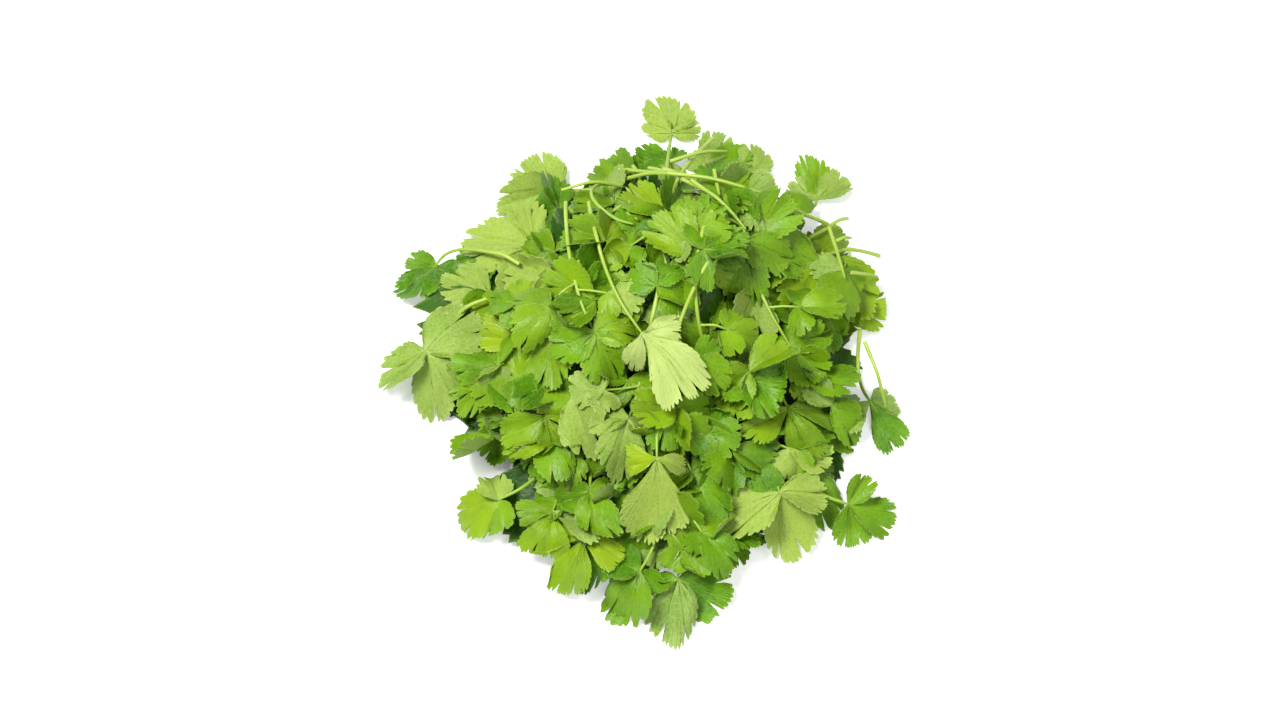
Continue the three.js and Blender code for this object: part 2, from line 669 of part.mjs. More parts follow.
const heap = new THREE.Group();
const field = new HeightField(SURFACE_HALF, SURFACE_CELL);
const shownDefaults = {
  sides: [],
  edge: LOBED_EDGE,
  spread: SPREAD,
  wings: 1,
  level: SHOWN_LEVEL,
  relief: SHOWN_RELIEF,
};
const specs = [...underStems(), ...SHOWN_STEMS.map((spec) => ({ ...shownDefaults, ...spec }))];
specs.forEach((spec, i) => {
  const random = generator(1 + i);
  spec.from ??= cutEnd(spec, random);
  const geometry = geometryOf(leafyStem(layStem(field, spec, random)));
  const color = LEAF_GREEN.clone().lerp(YELLOW_GREEN, random());
  const material = new THREE.MeshStandardMaterial({ color, roughness: 0.55, metalness: 0 });
  const mesh = new THREE.Mesh(geometry, material);
  mesh.name = "stem_" + spec.name;
  heap.add(mesh);
});

const box = new THREE.Box3().setFromObject(heap, true);
heap.position.set(-(box.min.x + box.max.x) / 2, -(box.min.y + box.max.y) / 2, -box.min.z);

export default heap;
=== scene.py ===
"""A loose heap of fresh cut coriander that lies on a plain surface.

Every leafy stem is one piece: a slender stem, its side stalks, and leaves of three fan-shaped leaflets
with lobed, toothed edges. The stems are laid down one after the other by the rule that laid the solids, so
each piece lies where its solid does. The rule works in millimetres, and the pieces are made in metres.
"""

import logging
import math
from dataclasses import dataclass, field, replace
from enum import Enum

import bmesh
import bpy
import numpy as np
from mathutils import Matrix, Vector


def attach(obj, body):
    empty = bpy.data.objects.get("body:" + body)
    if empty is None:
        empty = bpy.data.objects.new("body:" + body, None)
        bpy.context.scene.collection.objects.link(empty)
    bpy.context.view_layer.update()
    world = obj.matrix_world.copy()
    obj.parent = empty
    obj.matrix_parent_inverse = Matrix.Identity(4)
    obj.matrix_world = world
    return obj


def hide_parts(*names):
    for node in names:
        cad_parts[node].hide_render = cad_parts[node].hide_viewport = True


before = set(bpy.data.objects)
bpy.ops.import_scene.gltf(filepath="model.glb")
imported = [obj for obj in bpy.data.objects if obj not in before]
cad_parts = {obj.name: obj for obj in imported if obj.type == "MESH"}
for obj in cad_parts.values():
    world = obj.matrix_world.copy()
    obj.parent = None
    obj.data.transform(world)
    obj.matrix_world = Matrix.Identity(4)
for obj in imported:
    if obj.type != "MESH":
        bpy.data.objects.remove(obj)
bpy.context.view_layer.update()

LOG = logging.getLogger("coriander")
MM = 0.001

Pair = tuple[float, float]

# ---- The heap's driving dimensions, in millimetres ----

BLADE_THICKNESS = 0.7
BLADE_ROOM = 0.8 * BLADE_THICKNESS
CUT_END_RADIUS = 0.95
TIP_RADIUS = 0.7
STALK_RADIUS = 0.55
TUBE_ROOM = 1.3
STEM_STEPS = 6
STALK_STEPS = 2
LONGEST_STEM = 62
STEM_ARCH = (-5, 5)
STEM_LEAD = 0.38
CLEARANCE = 0.4
STEEPEST_SLOPE = 0.9
HEAP_HEIGHT = 24
HEAP_RADIUS = 118
HEAP_MIDDLE = (4, 0)
SURFACE_HALF = 150
SURFACE_CELL = 1.25
GATHER = (20, 64)
GATHER_SPREAD = 26
SPREAD = 84
END_LEAFLET_OFFSET = 0.3
SIDE_LEAFLET_OFFSET = 0.24
HUB_RADIUS = 1.3
HUB_CORNERS = 4  # of a leaf, before its leaflets' own
RIB_MIDDLE = 0.34
SIDE_LEAF_SIZE = (0.62, 0.92)
SIDE_LEAF_BACK = (17, 25)
SIDE_LEAF_STEP = 19
STALK_LENGTH = (10, 16)
STALK_TURN = 62
LEAFLET_TURN = (-5, 5)
END_LEAFLET_SIZE = (0.94, 1.06)
SIDE_LEAFLET_SIZE = (0.55, 0.98)
LEAFLET_FAN = (0.84, 1.1)
FAN_NARROWING = 0.6
LEAFLET_SLOPE = (-0.5, 0.45)
LEAFLET_ARCH = (-0.1, 0.6)
LEAFLET_CUP = (-0.5, 0.4)
LEAFLET_FOLD = (-0.25, 0.6)
LEAFLET_ROLL = (-0.65, 0.65)
LEAFLET_RIPPLE = (0.02, 0.06)
RIPPLE_WAVES = 5
SLOPE_STEP = 8
UNDER_STEMS = 10
UNDER_REACH = 66
UNDER_FIRST = 0.6
UNDER_SHIFT = 2
UNDER_FACING = (-35, 35)
UNDER_SEED = 101
UNDER_LEAF = (27, 32)
UNDER_RELIEF = 0.4
UNDER_LEVEL = 0.7
SHOWN_RELIEF = 0.9
SHOWN_LEVEL = 0.9
GOLDEN_ANGLE = 137.5
SAMPLE = 0.9
SETTLING_PASSES = 8

# ---- What shows whole, and the small leaves and bare stems round it ----

KEPT_BARE = (
    "crown", "front_fan", "left_large", "back_left", "long_hanging", "right_large", "bottom_right",
)
KEPT_MIDDLE = 0.6
KEPT_REACH = 3
KEPT_DEPTH = 9
KEPT_CURL = -0.1
SMALL_LEAFLET_SIZE = (0.8, 1)
SMALL_LEAFLET_OFFSET = 0.25
FILLING_MIDDLE = (6, 0)
FILLING_LEAF = (15, 22)
FILLING_LOWEST = 2
COVER_LEAF = (13, 17)
COVER_FACING = (-0.9, 0.9)
COVER_BACK = 0.4 * COVER_LEAF[0]
COVER_SEED = 801
COVER_LIFT = 1
COVER_RELIEF = 0.4
COVER_REACH = 80
COVER_ROOM = 4
LOOSE_ROOM = 0.9


class Edge(Enum):
    """A leaflet's outline: its points as (degrees from the rib, share of its length)."""

    LOBED = (
        (-46, 0.68), (-37, 0.95), (-23, 0.99), (-15, 0.64), (-8, 1.02),
        (8, 1.04), (15, 0.64), (23, 0.99), (37, 0.95), (46, 0.68),
    )
    FAN = (
        (-38, 0.84), (-29, 1.0), (-17, 0.97), (-9, 0.84), (0, 1.04),
        (9, 0.84), (17, 0.97), (29, 1.0), (38, 0.84),
    )
    PLAIN = ((-43, 0.78), (-25, 1.0), (-14, 0.7), (0, 1.06), (14, 0.7), (25, 1.0), (43, 0.78))
    SMALL = ((-38, 0.9), (-16, 0.7), (0, 1.05), (16, 0.7), (38, 0.9))


class Cast(Enum):
    """How a leaf looks: which side shows and how fresh it is, as (underside up, tone), where the tone is
    how yellow it is. The yellower casts are partly painted light, which makes their leaves look more
    brightly lit, and a tone below 0 is painted shade of the leaves deep in the heap.
    """

    FRESH = (False, 0.18)
    BRIGHT = (False, 0.4)
    DEEP = (False, 0.0)
    SHADED = (False, -1.0)
    YELLOW = (False, 0.55)
    GOLDEN = (True, 1.1)
    PALE = (True, 0.35)
    PALE_YELLOW = (True, 0.8)
    PALEST = (True, 1.9)


@dataclass(frozen=True)
class StemSpec:
    """Where a leafy stem lies.

    Attributes:
        name: the stem's own name.
        x, y: the place of its end leaf's hub.
        facing: the way its end leaf points, in degrees.
        leaf: the length of its end leaflet.
        sides: on which sides of the stem a leaf stands, 1 for left and -1 for right.
        edge: the end leaf's outline.
        spread: between its leaflets, in degrees.
        wings: the size of its side leaflets, as a share of the usual.
        start: the place of its cut end, where that shows.
        cast: how its leaves look.
        level: share of the heap's height that it starts at before it settles.
        relief: share of the full relief of its leaves.
    """

    name: str
    x: float
    y: float
    facing: float
    leaf: float
    sides: tuple[int, ...] = ()
    edge: Edge = Edge.LOBED
    spread: float = SPREAD
    wings: float = 1
    start: Pair | None = None
    cast: Cast = Cast.FRESH
    level: float = SHOWN_LEVEL
    relief: float = SHOWN_RELIEF


SHOWN_STEMS = (
    StemSpec("left_tip", -74, 12, 186, 15, edge=Edge.PLAIN, cast=Cast.YELLOW),
    StemSpec("left_edge", -65, 50, 165, 17, edge=Edge.PLAIN, cast=Cast.DEEP),
    StemSpec("top_curled", 30, 95, 78, 17, edge=Edge.PLAIN, spread=66, cast=Cast.PALE),
    StemSpec("top_small", 50, 91, 76, 15, edge=Edge.PLAIN, wings=0.65, cast=Cast.PALE),
    StemSpec("top_left", -3, 88, 135, 13, edge=Edge.PLAIN),
    StemSpec("top_middle", 14, 94, 165, 15, sides=(-1,), edge=Edge.PLAIN, cast=Cast.DEEP),
    StemSpec("back_low", 14, 66, 85, 17, sides=(1,), edge=Edge.PLAIN),
    StemSpec("right_shoulder", 83, 49, 104, 17, sides=(1,), edge=Edge.PLAIN, cast=Cast.YELLOW),
    StemSpec("bottom_shoulder", 70, -50, -62, 21, sides=(-1, 1), edge=Edge.PLAIN),
    StemSpec(
        "back_left", -36, 81, 186, 22, sides=(1,), spread=62, wings=1.1, start=(-2, 82),
        cast=Cast.PALE_YELLOW,
    ),
    StemSpec("back_right", 78, 79, 90, 19, spread=56, wings=1.2, start=(44, 80), cast=Cast.PALE),
    StemSpec("right_edge", 87, 26, 4, 18, sides=(-1,), cast=Cast.YELLOW),
    StemSpec("right_low", 99, -16, -58, 21, edge=Edge.FAN, wings=1.1, start=(95, 14), cast=Cast.DEEP),
    StemSpec("right_bottom", 89, -63, -12, 18, spread=70, wings=1.2, start=(69, -56)),
    StemSpec("bottom_right", 59, -62, -76, 21, sides=(1,), spread=72, wings=1.3, cast=Cast.PALE_YELLOW),
    StemSpec("bottom_tip", 16, -96, -94, 22, sides=(-1,), spread=76, wings=1.15, cast=Cast.DEEP),
    StemSpec("bottom_low", 0, -95, -122, 19, sides=(1,), edge=Edge.PLAIN),
    StemSpec("bottom_side", 26, -80, -52, 15, edge=Edge.PLAIN),
    StemSpec("bottom_left", -24, -82, -114, 22, edge=Edge.FAN, cast=Cast.YELLOW),
    StemSpec("low_left", -37, -70, -104, 21, edge=Edge.FAN, cast=Cast.BRIGHT),
    StemSpec("low_tip", -60, -63, 194, 17, edge=Edge.PLAIN, cast=Cast.YELLOW),
    StemSpec("left_low", -58, -27, -100, 18, sides=(-1,)),
    StemSpec("back_middle", -17, 64, 215, 16, sides=(1, -1), edge=Edge.PLAIN),
    StemSpec("right_back", 65, 48, 215, 18, sides=(-1,), start=(91, 69)),
    StemSpec(
        "left_large", -46, 52, 184, 24, sides=(1,), spread=74, wings=1.25, start=(-8, 68),
        cast=Cast.PALE_YELLOW,
    ),
    StemSpec("left_middle", -50, 13, 205, 21, sides=(-1,), edge=Edge.FAN, spread=74, cast=Cast.YELLOW),
    StemSpec("left_sprig", -90, 47, 240, 17, spread=75, wings=0.85, start=(-52, 40), cast=Cast.DEEP),
    StemSpec("left_pair", -92, 2, -62, 21, spread=98, wings=1.25, start=(-66, 25), cast=Cast.PALE),
    StemSpec("top_leaf", 14, 112, 84, 20, wings=0.6, start=(10, 63), cast=Cast.PALE_YELLOW),
    StemSpec(
        "long_hanging", -48, 3, 250, 25, sides=(1,), edge=Edge.FAN, spread=78, wings=0.75,
        cast=Cast.PALE_YELLOW,
    ),
    StemSpec("front_low", -21, -63, -88, 20, sides=(-1,)),
    StemSpec("front_right", 45, -44, -70, 20, sides=(1,)),
    StemSpec("right_front", 63, -26, -64, 24, sides=(1, -1), edge=Edge.FAN, wings=1.1, cast=Cast.BRIGHT),
    StemSpec(
        "right_large", 78, 42, 250, 25, sides=(1,), spread=72, wings=1.2, start=(105, 53), cast=Cast.BRIGHT,
    ),
    StemSpec("right_middle", 64, 2, -50, 19, sides=(1,), cast=Cast.BRIGHT),
    StemSpec("front_left", -40, -31, -72, 24, sides=(1, -1), edge=Edge.FAN, wings=0.8, cast=Cast.BRIGHT),
    StemSpec("back_pale", 44, 68, -45, 16, start=(10, 84), cast=Cast.PALE),
    StemSpec("back_crossing", 14, 49, -55, 23, edge=Edge.FAN, wings=0.8, start=(-3, 90), cast=Cast.BRIGHT),
    StemSpec("left_centre", -21, 30, 208, 20, sides=(-1, 1), cast=Cast.BRIGHT),
    StemSpec("right_centre", 45, 44, -97, 22, sides=(1,), spread=70, wings=1.1, cast=Cast.BRIGHT),
    StemSpec("front_middle", 22, -54, -62, 19, sides=(-1, 1)),
    StemSpec("bright_left", -38, 1, -2, 21, sides=(-1,), cast=Cast.BRIGHT),
    StemSpec("middle_back", 12, 26, -70, 18, sides=(1, -1), start=(32, 103), cast=Cast.BRIGHT),
    StemSpec("front_centre", -5, -37, -104, 19, sides=(-1,), cast=Cast.PALE),
    StemSpec("right_inner", 35, -12, -40, 18, sides=(1,), cast=Cast.BRIGHT),
    StemSpec("bright_middle", -19, 0, -62, 19, sides=(1, -1), start=(-32, 65), cast=Cast.BRIGHT),
    StemSpec("front_fan", 7, -54, -88, 29, edge=Edge.FAN, spread=80, wings=0.7, cast=Cast.GOLDEN),
    StemSpec("under_crown", 12, -27, -84, 18, sides=(1,), cast=Cast.BRIGHT),
    StemSpec(
        "crown", 1, -2, -50, 27, edge=Edge.FAN, spread=66, wings=0.7, start=(-22, 64), cast=Cast.PALEST,
    ),
)


class Draws:
    """A small seeded generator of numbers between 0 and 1, so that the heap is the same each time."""

    STATES = 2**32
    SEED_STEP = 2654435761
    FACTOR = 1664525
    ADDEND = 1013904223

    def __init__(self, seed: int) -> None:
        """Starts the generator and passes over its first number."""
        self.state = (seed * self.SEED_STEP) % self.STATES
        self.next()

    def next(self) -> float:
        """Returns the next number between 0 and 1."""
        self.state = (self.state * self.FACTOR + self.ADDEND) % self.STATES
        return self.state / self.STATES

    def turn(self) -> float:
        """Returns an angle from anywhere round the circle, in radians."""
        return 2 * math.pi * self.next()

    def between(self, limits: Pair) -> float:
        """Returns the next number between two limits."""
        low, high = limits
        return low + (high - low) * self.next()


class Tops:
    """The tops of what has been laid down so far, on a grid of square cells."""

    def __init__(self) -> None:
        """Starts with the bare surface."""
        self.count = math.ceil(2 * SURFACE_HALF / SURFACE_CELL)
        self.heights = np.full((self.count, self.count), -CLEARANCE)

    def _cells(self, values: np.ndarray) -> np.ndarray:
        """Returns the numbers of the cells that hold the values along one axis."""
        index = np.floor((values + SURFACE_HALF) / SURFACE_CELL).astype(int)
        return np.clip(index, 1, self.count - 2)

    def at(self, places: np.ndarray) -> np.ndarray:
        """Returns the tops under some places, given as rows of x and y."""
        return self.heights[self._cells(places[:, 1]), self._cells(places[:, 0])]

    def raise_to(self, places: np.ndarray, heights: np.ndarray) -> None:
        """Raises the cells under some places, and their neighbours, to at least the given heights."""
        rows, columns = self._cells(places[:, 1]), self._cells(places[:, 0])
        for row_step in (-1, 0, 1):
            for column_step in (-1, 0, 1):
                np.maximum.at(self.heights, (rows + row_step, columns + column_step), heights)

    def slope_cliffs(self) -> None:
        """Fills the foot of every cliff with a slope, so that what comes next drapes over it."""
        drop = STEEPEST_SLOPE * SURFACE_CELL
        for grid in (self.heights.T, self.heights):
            for i in range(1, self.count):
                np.maximum(grid[i], grid[i - 1] - drop, out=grid[i])
            for i in range(self.count - 2, -1, -1):
                np.maximum(grid[i], grid[i + 1] - drop, out=grid[i])


@dataclass
class Cell:
    """A straight step of a stem or a flat facet of a blade, with the samples where it is held clear.

    Attributes:
        corners: the numbers of its corners.
        shares: for each sample, the share of each corner in it.
        places: for each sample, its x and y.
    """

    corners: list[int]
    shares: np.ndarray
    places: np.ndarray

    def heights(self, corners: np.ndarray) -> np.ndarray:
        """Returns the samples' heights for the corners' present ones."""
        return self.shares @ corners[self.corners, 2]


def heap_height(x: float, y: float) -> float:
    """Returns the height of the heap's smooth outer shape over a place on the surface."""
    share = math.hypot(x - HEAP_MIDDLE[0], y - HEAP_MIDDLE[1]) / HEAP_RADIUS
    return HEAP_HEIGHT * max(0, 1 - share * share)


def bend_clear(tops: Tops, corners: np.ndarray, cells: list[Cell], room: float) -> None:
    """Raises corners until every cell clears what lies beneath it.

    Args:
        tops: what has been laid down so far.
        corners: rows of x, y and z. Their z is raised in place.
        cells: the steps or facets between the corners.
        room: the least height of a cell's middle over the tops.
    """
    floors = [tops.at(cell.places) + room for cell in cells]
    ceiling = np.zeros(len(corners))
    for cell, floor in zip(cells, floors):
        ceiling[cell.corners] = np.maximum(ceiling[cell.corners], floor.max())
    for step in range(SETTLING_PASSES + 1):
        for cell, floor in zip(cells, floors):
            missing = floor - cell.heights(corners)
            worst = int(missing.argmax())
            if missing[worst] <= 0:
                continue
            z = corners[cell.corners, 2]
            if step == SETTLING_PASSES:
                corners[cell.corners, 2] = z + missing[worst]
                continue
            shares = cell.shares[worst]
            lifted = z + missing[worst] * shares / (shares @ shares)
            corners[cell.corners, 2] = np.maximum(z, np.minimum(ceiling[cell.corners], lifted))


def step_cells(course: np.ndarray, radius: float) -> list[Cell]:
    """Returns a course's steps as cells, sampled along their middle and both sides."""
    cells = []
    for i, (start, end) in enumerate(zip(course[:-1, :2], course[1:, :2])):
        way = end - start
        length = math.hypot(*way)
        across = np.array((-way[1], way[0])) / length
        count = max(1, math.ceil(length / SAMPLE))
        share = np.repeat(np.arange(count + 1) / count, 3)
        offset = np.tile((-radius, 0, radius), count + 1)
        places = start + way * share[:, None] + across * offset[:, None]
        cells.append(Cell([i, i + 1], np.column_stack((1 - share, share)), places))
    return cells


def facet_cell(corners: np.ndarray, facet: list[int]) -> Cell:
    """Returns a blade's facet as a cell, sampled all over."""
    a, b, c = corners[facet, :2]
    longest = max(math.hypot(*(a - b)), math.hypot(*(b - c)), math.hypot(*(c - a)))
    count = math.ceil(longest / SAMPLE)
    first, second = np.meshgrid(np.arange(count + 1), np.arange(count + 1), indexing="ij")
    inside = first + second <= count
    s, t = first[inside] / count, second[inside] / count
    shares = np.column_stack((1 - s - t, s, t))
    return Cell(facet, shares, shares @ corners[facet, :2])


@dataclass
class Leaflet:
    """How one leaflet is shaped and lies. Its slopes are shares of its own length.

    Attributes:
        turn: the way it points, in radians.
        length: from its base to its tip.
        fan: of its width.
        edge: its outline.
        offset: from the hub to its base, as a share of its length.
        slope: along the rib.
        arch: downwards along the rib.
        cup: upwards across it.
        fold: of both halves, up from the rib.
        roll: about the rib.
        ripple: of the edge, with its phase.
    """

    turn: float
    length: float
    fan: float
    edge: Edge
    offset: float
    slope: float
    arch: float
    cup: float
    fold: float
    roll: float
    ripple: float
    phase: float

    def height(self, along: np.ndarray, across: np.ndarray) -> np.ndarray:
        """Returns the height over the hub at points along and across the rib, before it settles."""
        reach = np.hypot(along, across) / self.length
        turn = np.arctan2(across, along)
        return (
            self.slope * along
            - self.arch * along**2 / self.length
            + self.cup * across**2 / self.length
            + self.fold * np.abs(across)
            + self.roll * across
            + self.ripple * self.length * reach**2 * np.sin(RIPPLE_WAVES * turn + self.phase)
        )

    def places(self, hub: np.ndarray, along: np.ndarray, across: np.ndarray) -> np.ndarray:
        """Returns rows of x, y and z of points along and across the rib, before it settles."""
        squeeze = 1 / math.hypot(1, self.slope - self.arch)
        aside = across / np.hypot(1, self.roll + np.sign(across) * self.fold)
        cosine, sine = math.cos(self.turn), math.sin(self.turn)
        x = hub[0] + along * squeeze * cosine - aside * sine
        y = hub[1] + along * squeeze * sine + aside * cosine
        return np.column_stack((x, y, hub[2] + self.height(along, across)))


@dataclass
class Leaf:
    """A leaf as it settled.

    Attributes:
        hub: where its leaflets meet, as it settled.
        laid: the hub's height before the blade settled, which the leaflets are shaped from.
        leaflets: its three leaflets, right, end and left.
        corners: the blade's corners as they settled.
        lifts: how far each of them was raised as it settled.
    """

    hub: np.ndarray
    laid: np.ndarray
    leaflets: list[Leaflet]
    corners: np.ndarray
    lifts: np.ndarray


@dataclass
class Course:
    """A stem's or stalk's middle line with its radius at both ends."""

    points: np.ndarray
    start_radius: float
    end_radius: float


@dataclass
class LaidStem:
    """A leafy stem as it settled: its courses and its leaves, end leaf first."""

    spec: StemSpec
    courses: list[Course] = field(default_factory=list)
    leaves: list[Leaf] = field(default_factory=list)


def stem_course(start: np.ndarray, hub: np.ndarray, facing: float, arch: float) -> np.ndarray:
    """Returns a stem's course, a cubic curve from its cut end to its hub, where it points as its leaf."""
    back = math.hypot(*(hub - start)[:2]) * STEM_LEAD
    lead = hub[:2] - back * np.array((math.cos(facing), math.sin(facing)))
    handle = start[:2] + (lead - start[:2]) * STEM_LEAD
    share = np.arange(STEM_STEPS + 1)[:, None] / STEM_STEPS
    rest = 1 - share
    flat = (
        rest**3 * start[:2]
        + 3 * rest**2 * share * handle
        + 3 * rest * share**2 * lead
        + share**3 * hub[:2]
    )
    z = start[2] + (hub[2] - start[2]) * share + 4 * arch * share * rest
    return np.column_stack((flat, np.maximum(z, CUT_END_RADIUS)))


def stalk_course(root: np.ndarray, turn: float, reach: float) -> np.ndarray:
    """Returns a side leaf's stalk, straight out from the stem and down with the heap's slope."""
    end = root[:2] + reach * np.array((math.cos(turn), math.sin(turn)))
    fall = min(0, heap_height(*end) - heap_height(*root[:2]))
    share = np.arange(STALK_STEPS + 1)[:, None] / STALK_STEPS
    flat = root[:2] + (end - root[:2]) * share
    return np.column_stack((flat, np.maximum(root[2] + fall * share, STALK_RADIUS)))


def place_on_course(course: np.ndarray, back: float) -> tuple[np.ndarray, float]:
    """Finds a place on a stem.

    Args:
        course: the stem's points.
        back: the distance from its end, along the surface.

    Returns:
        The place, and the way that the stem points there, in radians.
    """
    left = back
    for i in range(len(course) - 1, 0, -1):
        a, b = course[i - 1], course[i]
        length = math.hypot(*(b - a)[:2])
        if left <= length or i == 1:
            return b + (a - b) * min(1, left / length), math.atan2(b[1] - a[1], b[0] - a[0])
        left -= length
    raise ValueError("a course has at least two points")


@dataclass(frozen=True)
class Filling:
    """Small leaves between the others.

    Attributes:
        name: of the piece.
        leaves: how many.
        seed: of their draws.
        turn: of the spiral that they stand on, in steps.
        reach: of that spiral.
        depth: under the heap's top.
        facing: degrees off straight outwards.
        edge, relief, cast: as a stem's.
    """

    name: str
    leaves: int
    seed: int
    turn: float
    reach: float
    depth: Pair
    facing: Pair
    edge: Edge
    relief: float
    cast: Cast


FILLINGS = (
    Filling("filling_floor", 14, 901, 0.5, 52, (32, 48), (-180, 180), Edge.PLAIN, 0.6, Cast.SHADED),
    Filling("filling_deep", 30, 501, 0, 84, (16, 30), (-180, 180), Edge.PLAIN, 0.6, Cast.SHADED),
    Filling("filling_middle", 34, 601, 0.3, 82, (5, 12), (-70, 70), Edge.LOBED, 1.3, Cast.FRESH),
    Filling("filling_bright", 26, 701, 0.7, 80, (3, 9), (-70, 70), Edge.LOBED, 1.3, Cast.BRIGHT),
)


@dataclass(frozen=True)
class LooseStems:
    """Bare stems on top of the others.

    Attributes:
        name: of the piece.
        radii: of each stem, at its start and its end.
        courses: places along each stem, as (x, y).
    """

    name: str
    radii: Pair
    courses: tuple[tuple[Pair, ...], ...]


LOOSE_STEMS = (
    LooseStems("crossing_top", (0.95, 0.75), (
        ((13, 84), (25, 88), (38, 93)),
        ((-9, 86), (3, 82), (14, 77)),
        ((-6, 81), (5, 79), (15, 76)),
        ((4, 85), (9, 81), (14, 77)),
        ((12, 77), (30, 73), (53, 66)),
        ((66, 63), (74, 62), (82, 61)),
        ((18, 73), (32, 62), (43, 50)),
        ((22, 71), (36, 58), (45, 47)),
        ((32, 79), (33, 72), (34, 65)),
    )),
    LooseStems("bent_top", (0.7, 0.8), (
        ((-9, 77), (-18, 75), (-21, 69), (-18, 60), (-9, 53), (-3, 51)),
        ((-4, 67), (-6, 60), (-1, 53)),
        ((-34, 71), (-20, 75), (-8, 76)),
    )),
    LooseStems("crossing_right", (0.85, 0.7), (
        ((82, 59), (85, 46), (88, 32)),
        ((84, 52), (88, 54), (92, 56)),
        ((91, 36), (97, 37), (103, 38)),
        ((96, 4), (101, -10), (105, -22)),
    )),
)


@dataclass
class Heap:
    """Lays the leafy stems down, each bent clear of those beneath it."""

    tops: Tops = field(default_factory=Tops)

    def specs(self) -> list[StemSpec]:
        """Returns all stems in the order in which they are laid down."""
        return [*self._under_stems(), *SHOWN_STEMS]

    def lay(self) -> list[LaidStem]:
        """Lays all stems down and returns them, moved so that the heap's middle is the origin."""
        stems = [self._lay_stem(spec, Draws(1 + i)) for i, spec in enumerate(self.specs())]
        corners = np.vstack([leaf.corners for stem in stems for leaf in stem.leaves])
        stems += [self.fill(filling) for filling in FILLINGS]
        stems.append(self.cover(stems))
        stems += [self.lay_loose(loose) for loose in LOOSE_STEMS]
        shift = np.zeros(3)
        shift[:2] = -(corners.min(0) + corners.max(0))[:2] / 2
        for stem in stems:
            for course in stem.courses:
                course.points += shift
            for leaf in stem.leaves:
                leaf.hub += shift
                leaf.laid += shift
                leaf.corners += shift
        LOG.info("laid %d stems, moved by %.3f and %.3f mm", len(stems), shift[0], shift[1])
        return stems

    def fill(self, filling: Filling) -> LaidStem:
        """Returns small leaves between the others, round a sunflower's spiral.

        Args:
            filling: which leaves.
        """
        laid = LaidStem(StemSpec(filling.name, 0, 0, 0, 0, cast=filling.cast))
        for i in range(filling.leaves):
            draws = Draws(filling.seed + i)
            turn = math.radians((i + filling.turn) * GOLDEN_ANGLE)
            reach = filling.reach * math.sqrt((i + 0.5) / filling.leaves)
            x, y = FILLING_MIDDLE[0] + reach * math.cos(turn), FILLING_MIDDLE[1] + reach * math.sin(turn)
            top = self.tops.at(np.array([[x, y]]))[0]
            deep = KEPT_DEPTH if self._is_kept_bare(x, y) else 0
            hub = np.array((x, y, max(FILLING_LOWEST, top - draws.between(filling.depth) - deep)))
            facing = turn + math.radians(draws.between(filling.facing))
            size = draws.between(FILLING_LEAF)
            laid.leaves.append(self._small_leaf(draws, hub, facing, size, filling.edge, filling.relief))
        return laid

    def cover(self, stems: list[LaidStem]) -> LaidStem:
        """Returns a small leaf over the cut end of every stem whose end lies in the heap.

        Args:
            stems: what has been laid down.
        """
        laid = LaidStem(StemSpec("filling_top", 0, 0, 0, 0, cast=Cast.FRESH))
        for i, stem in enumerate(stems):
            if stem.spec not in SHOWN_STEMS or stem.spec.start:
                continue
            end = stem.courses[0].points[0]
            x, y = end[:2]
            top = self.tops.at(end[None, :2])[0]
            if math.hypot(x, y) > COVER_REACH or self._is_kept_bare(x, y) or top > end[2] + COVER_ROOM:
                continue
            draws = Draws(COVER_SEED + i)
            facing = math.atan2(y, x) + draws.between(COVER_FACING)
            back = COVER_BACK * np.array((math.cos(facing), math.sin(facing)))
            hub = np.array((x - back[0], y - back[1], top + COVER_LIFT))
            size = draws.between(COVER_LEAF)
            laid.leaves.append(self._small_leaf(draws, hub, facing, size, Edge.LOBED, COVER_RELIEF))
        return laid

    def _small_leaf(
        self, draws: Draws, hub: np.ndarray, facing: float, size: float, edge: Edge, relief: float
    ) -> Leaf:
        """Returns a leaf that stays as it was shaped.

        Args:
            draws: where its numbers come from.
            hub: where its leaflets meet.
            facing: the way it points, in radians.
            size: its most length, in millimetres.
            edge, relief: as a stem's.
        """
        spec = StemSpec("", *hub[:2], 0, size, edge=edge, relief=relief)
        side = math.radians(SPREAD)
        leaflets = [
            self._leaflet(draws, facing + turn, hub, size, SMALL_LEAFLET_SIZE, SMALL_LEAFLET_OFFSET, spec)
            for turn in (-side, 0, side)
        ]
        corners, _ = self._blade(hub, facing, leaflets)
        return Leaf(hub, hub.copy(), leaflets, corners, np.zeros(len(corners)))

    def lay_loose(self, loose: LooseStems) -> LaidStem:
        """Returns bare stems, bent clear of what lies beneath them.

        Args:
            loose: which stems.
        """
        laid = LaidStem(StemSpec(loose.name, 0, 0, 0, 0))
        for places in loose.courses:
            points = np.column_stack((places, np.zeros(len(places))))
            bend_clear(self.tops, points, step_cells(points, loose.radii[0]), LOOSE_ROOM)
            laid.courses.append(Course(points, *loose.radii))
        return laid

    def _is_kept_bare(self, x: float, y: float) -> bool:
        """Returns whether a leaf that shows whole lies over a place."""
        for spec in SHOWN_STEMS:
            if spec.name in KEPT_BARE:
                turn, out = math.radians(spec.facing), KEPT_MIDDLE * spec.leaf
                middle = spec.x + out * math.cos(turn), spec.y + out * math.sin(turn)
                if math.hypot(x - middle[0], y - middle[1]) < KEPT_REACH + spec.leaf:
                    return True
        return False

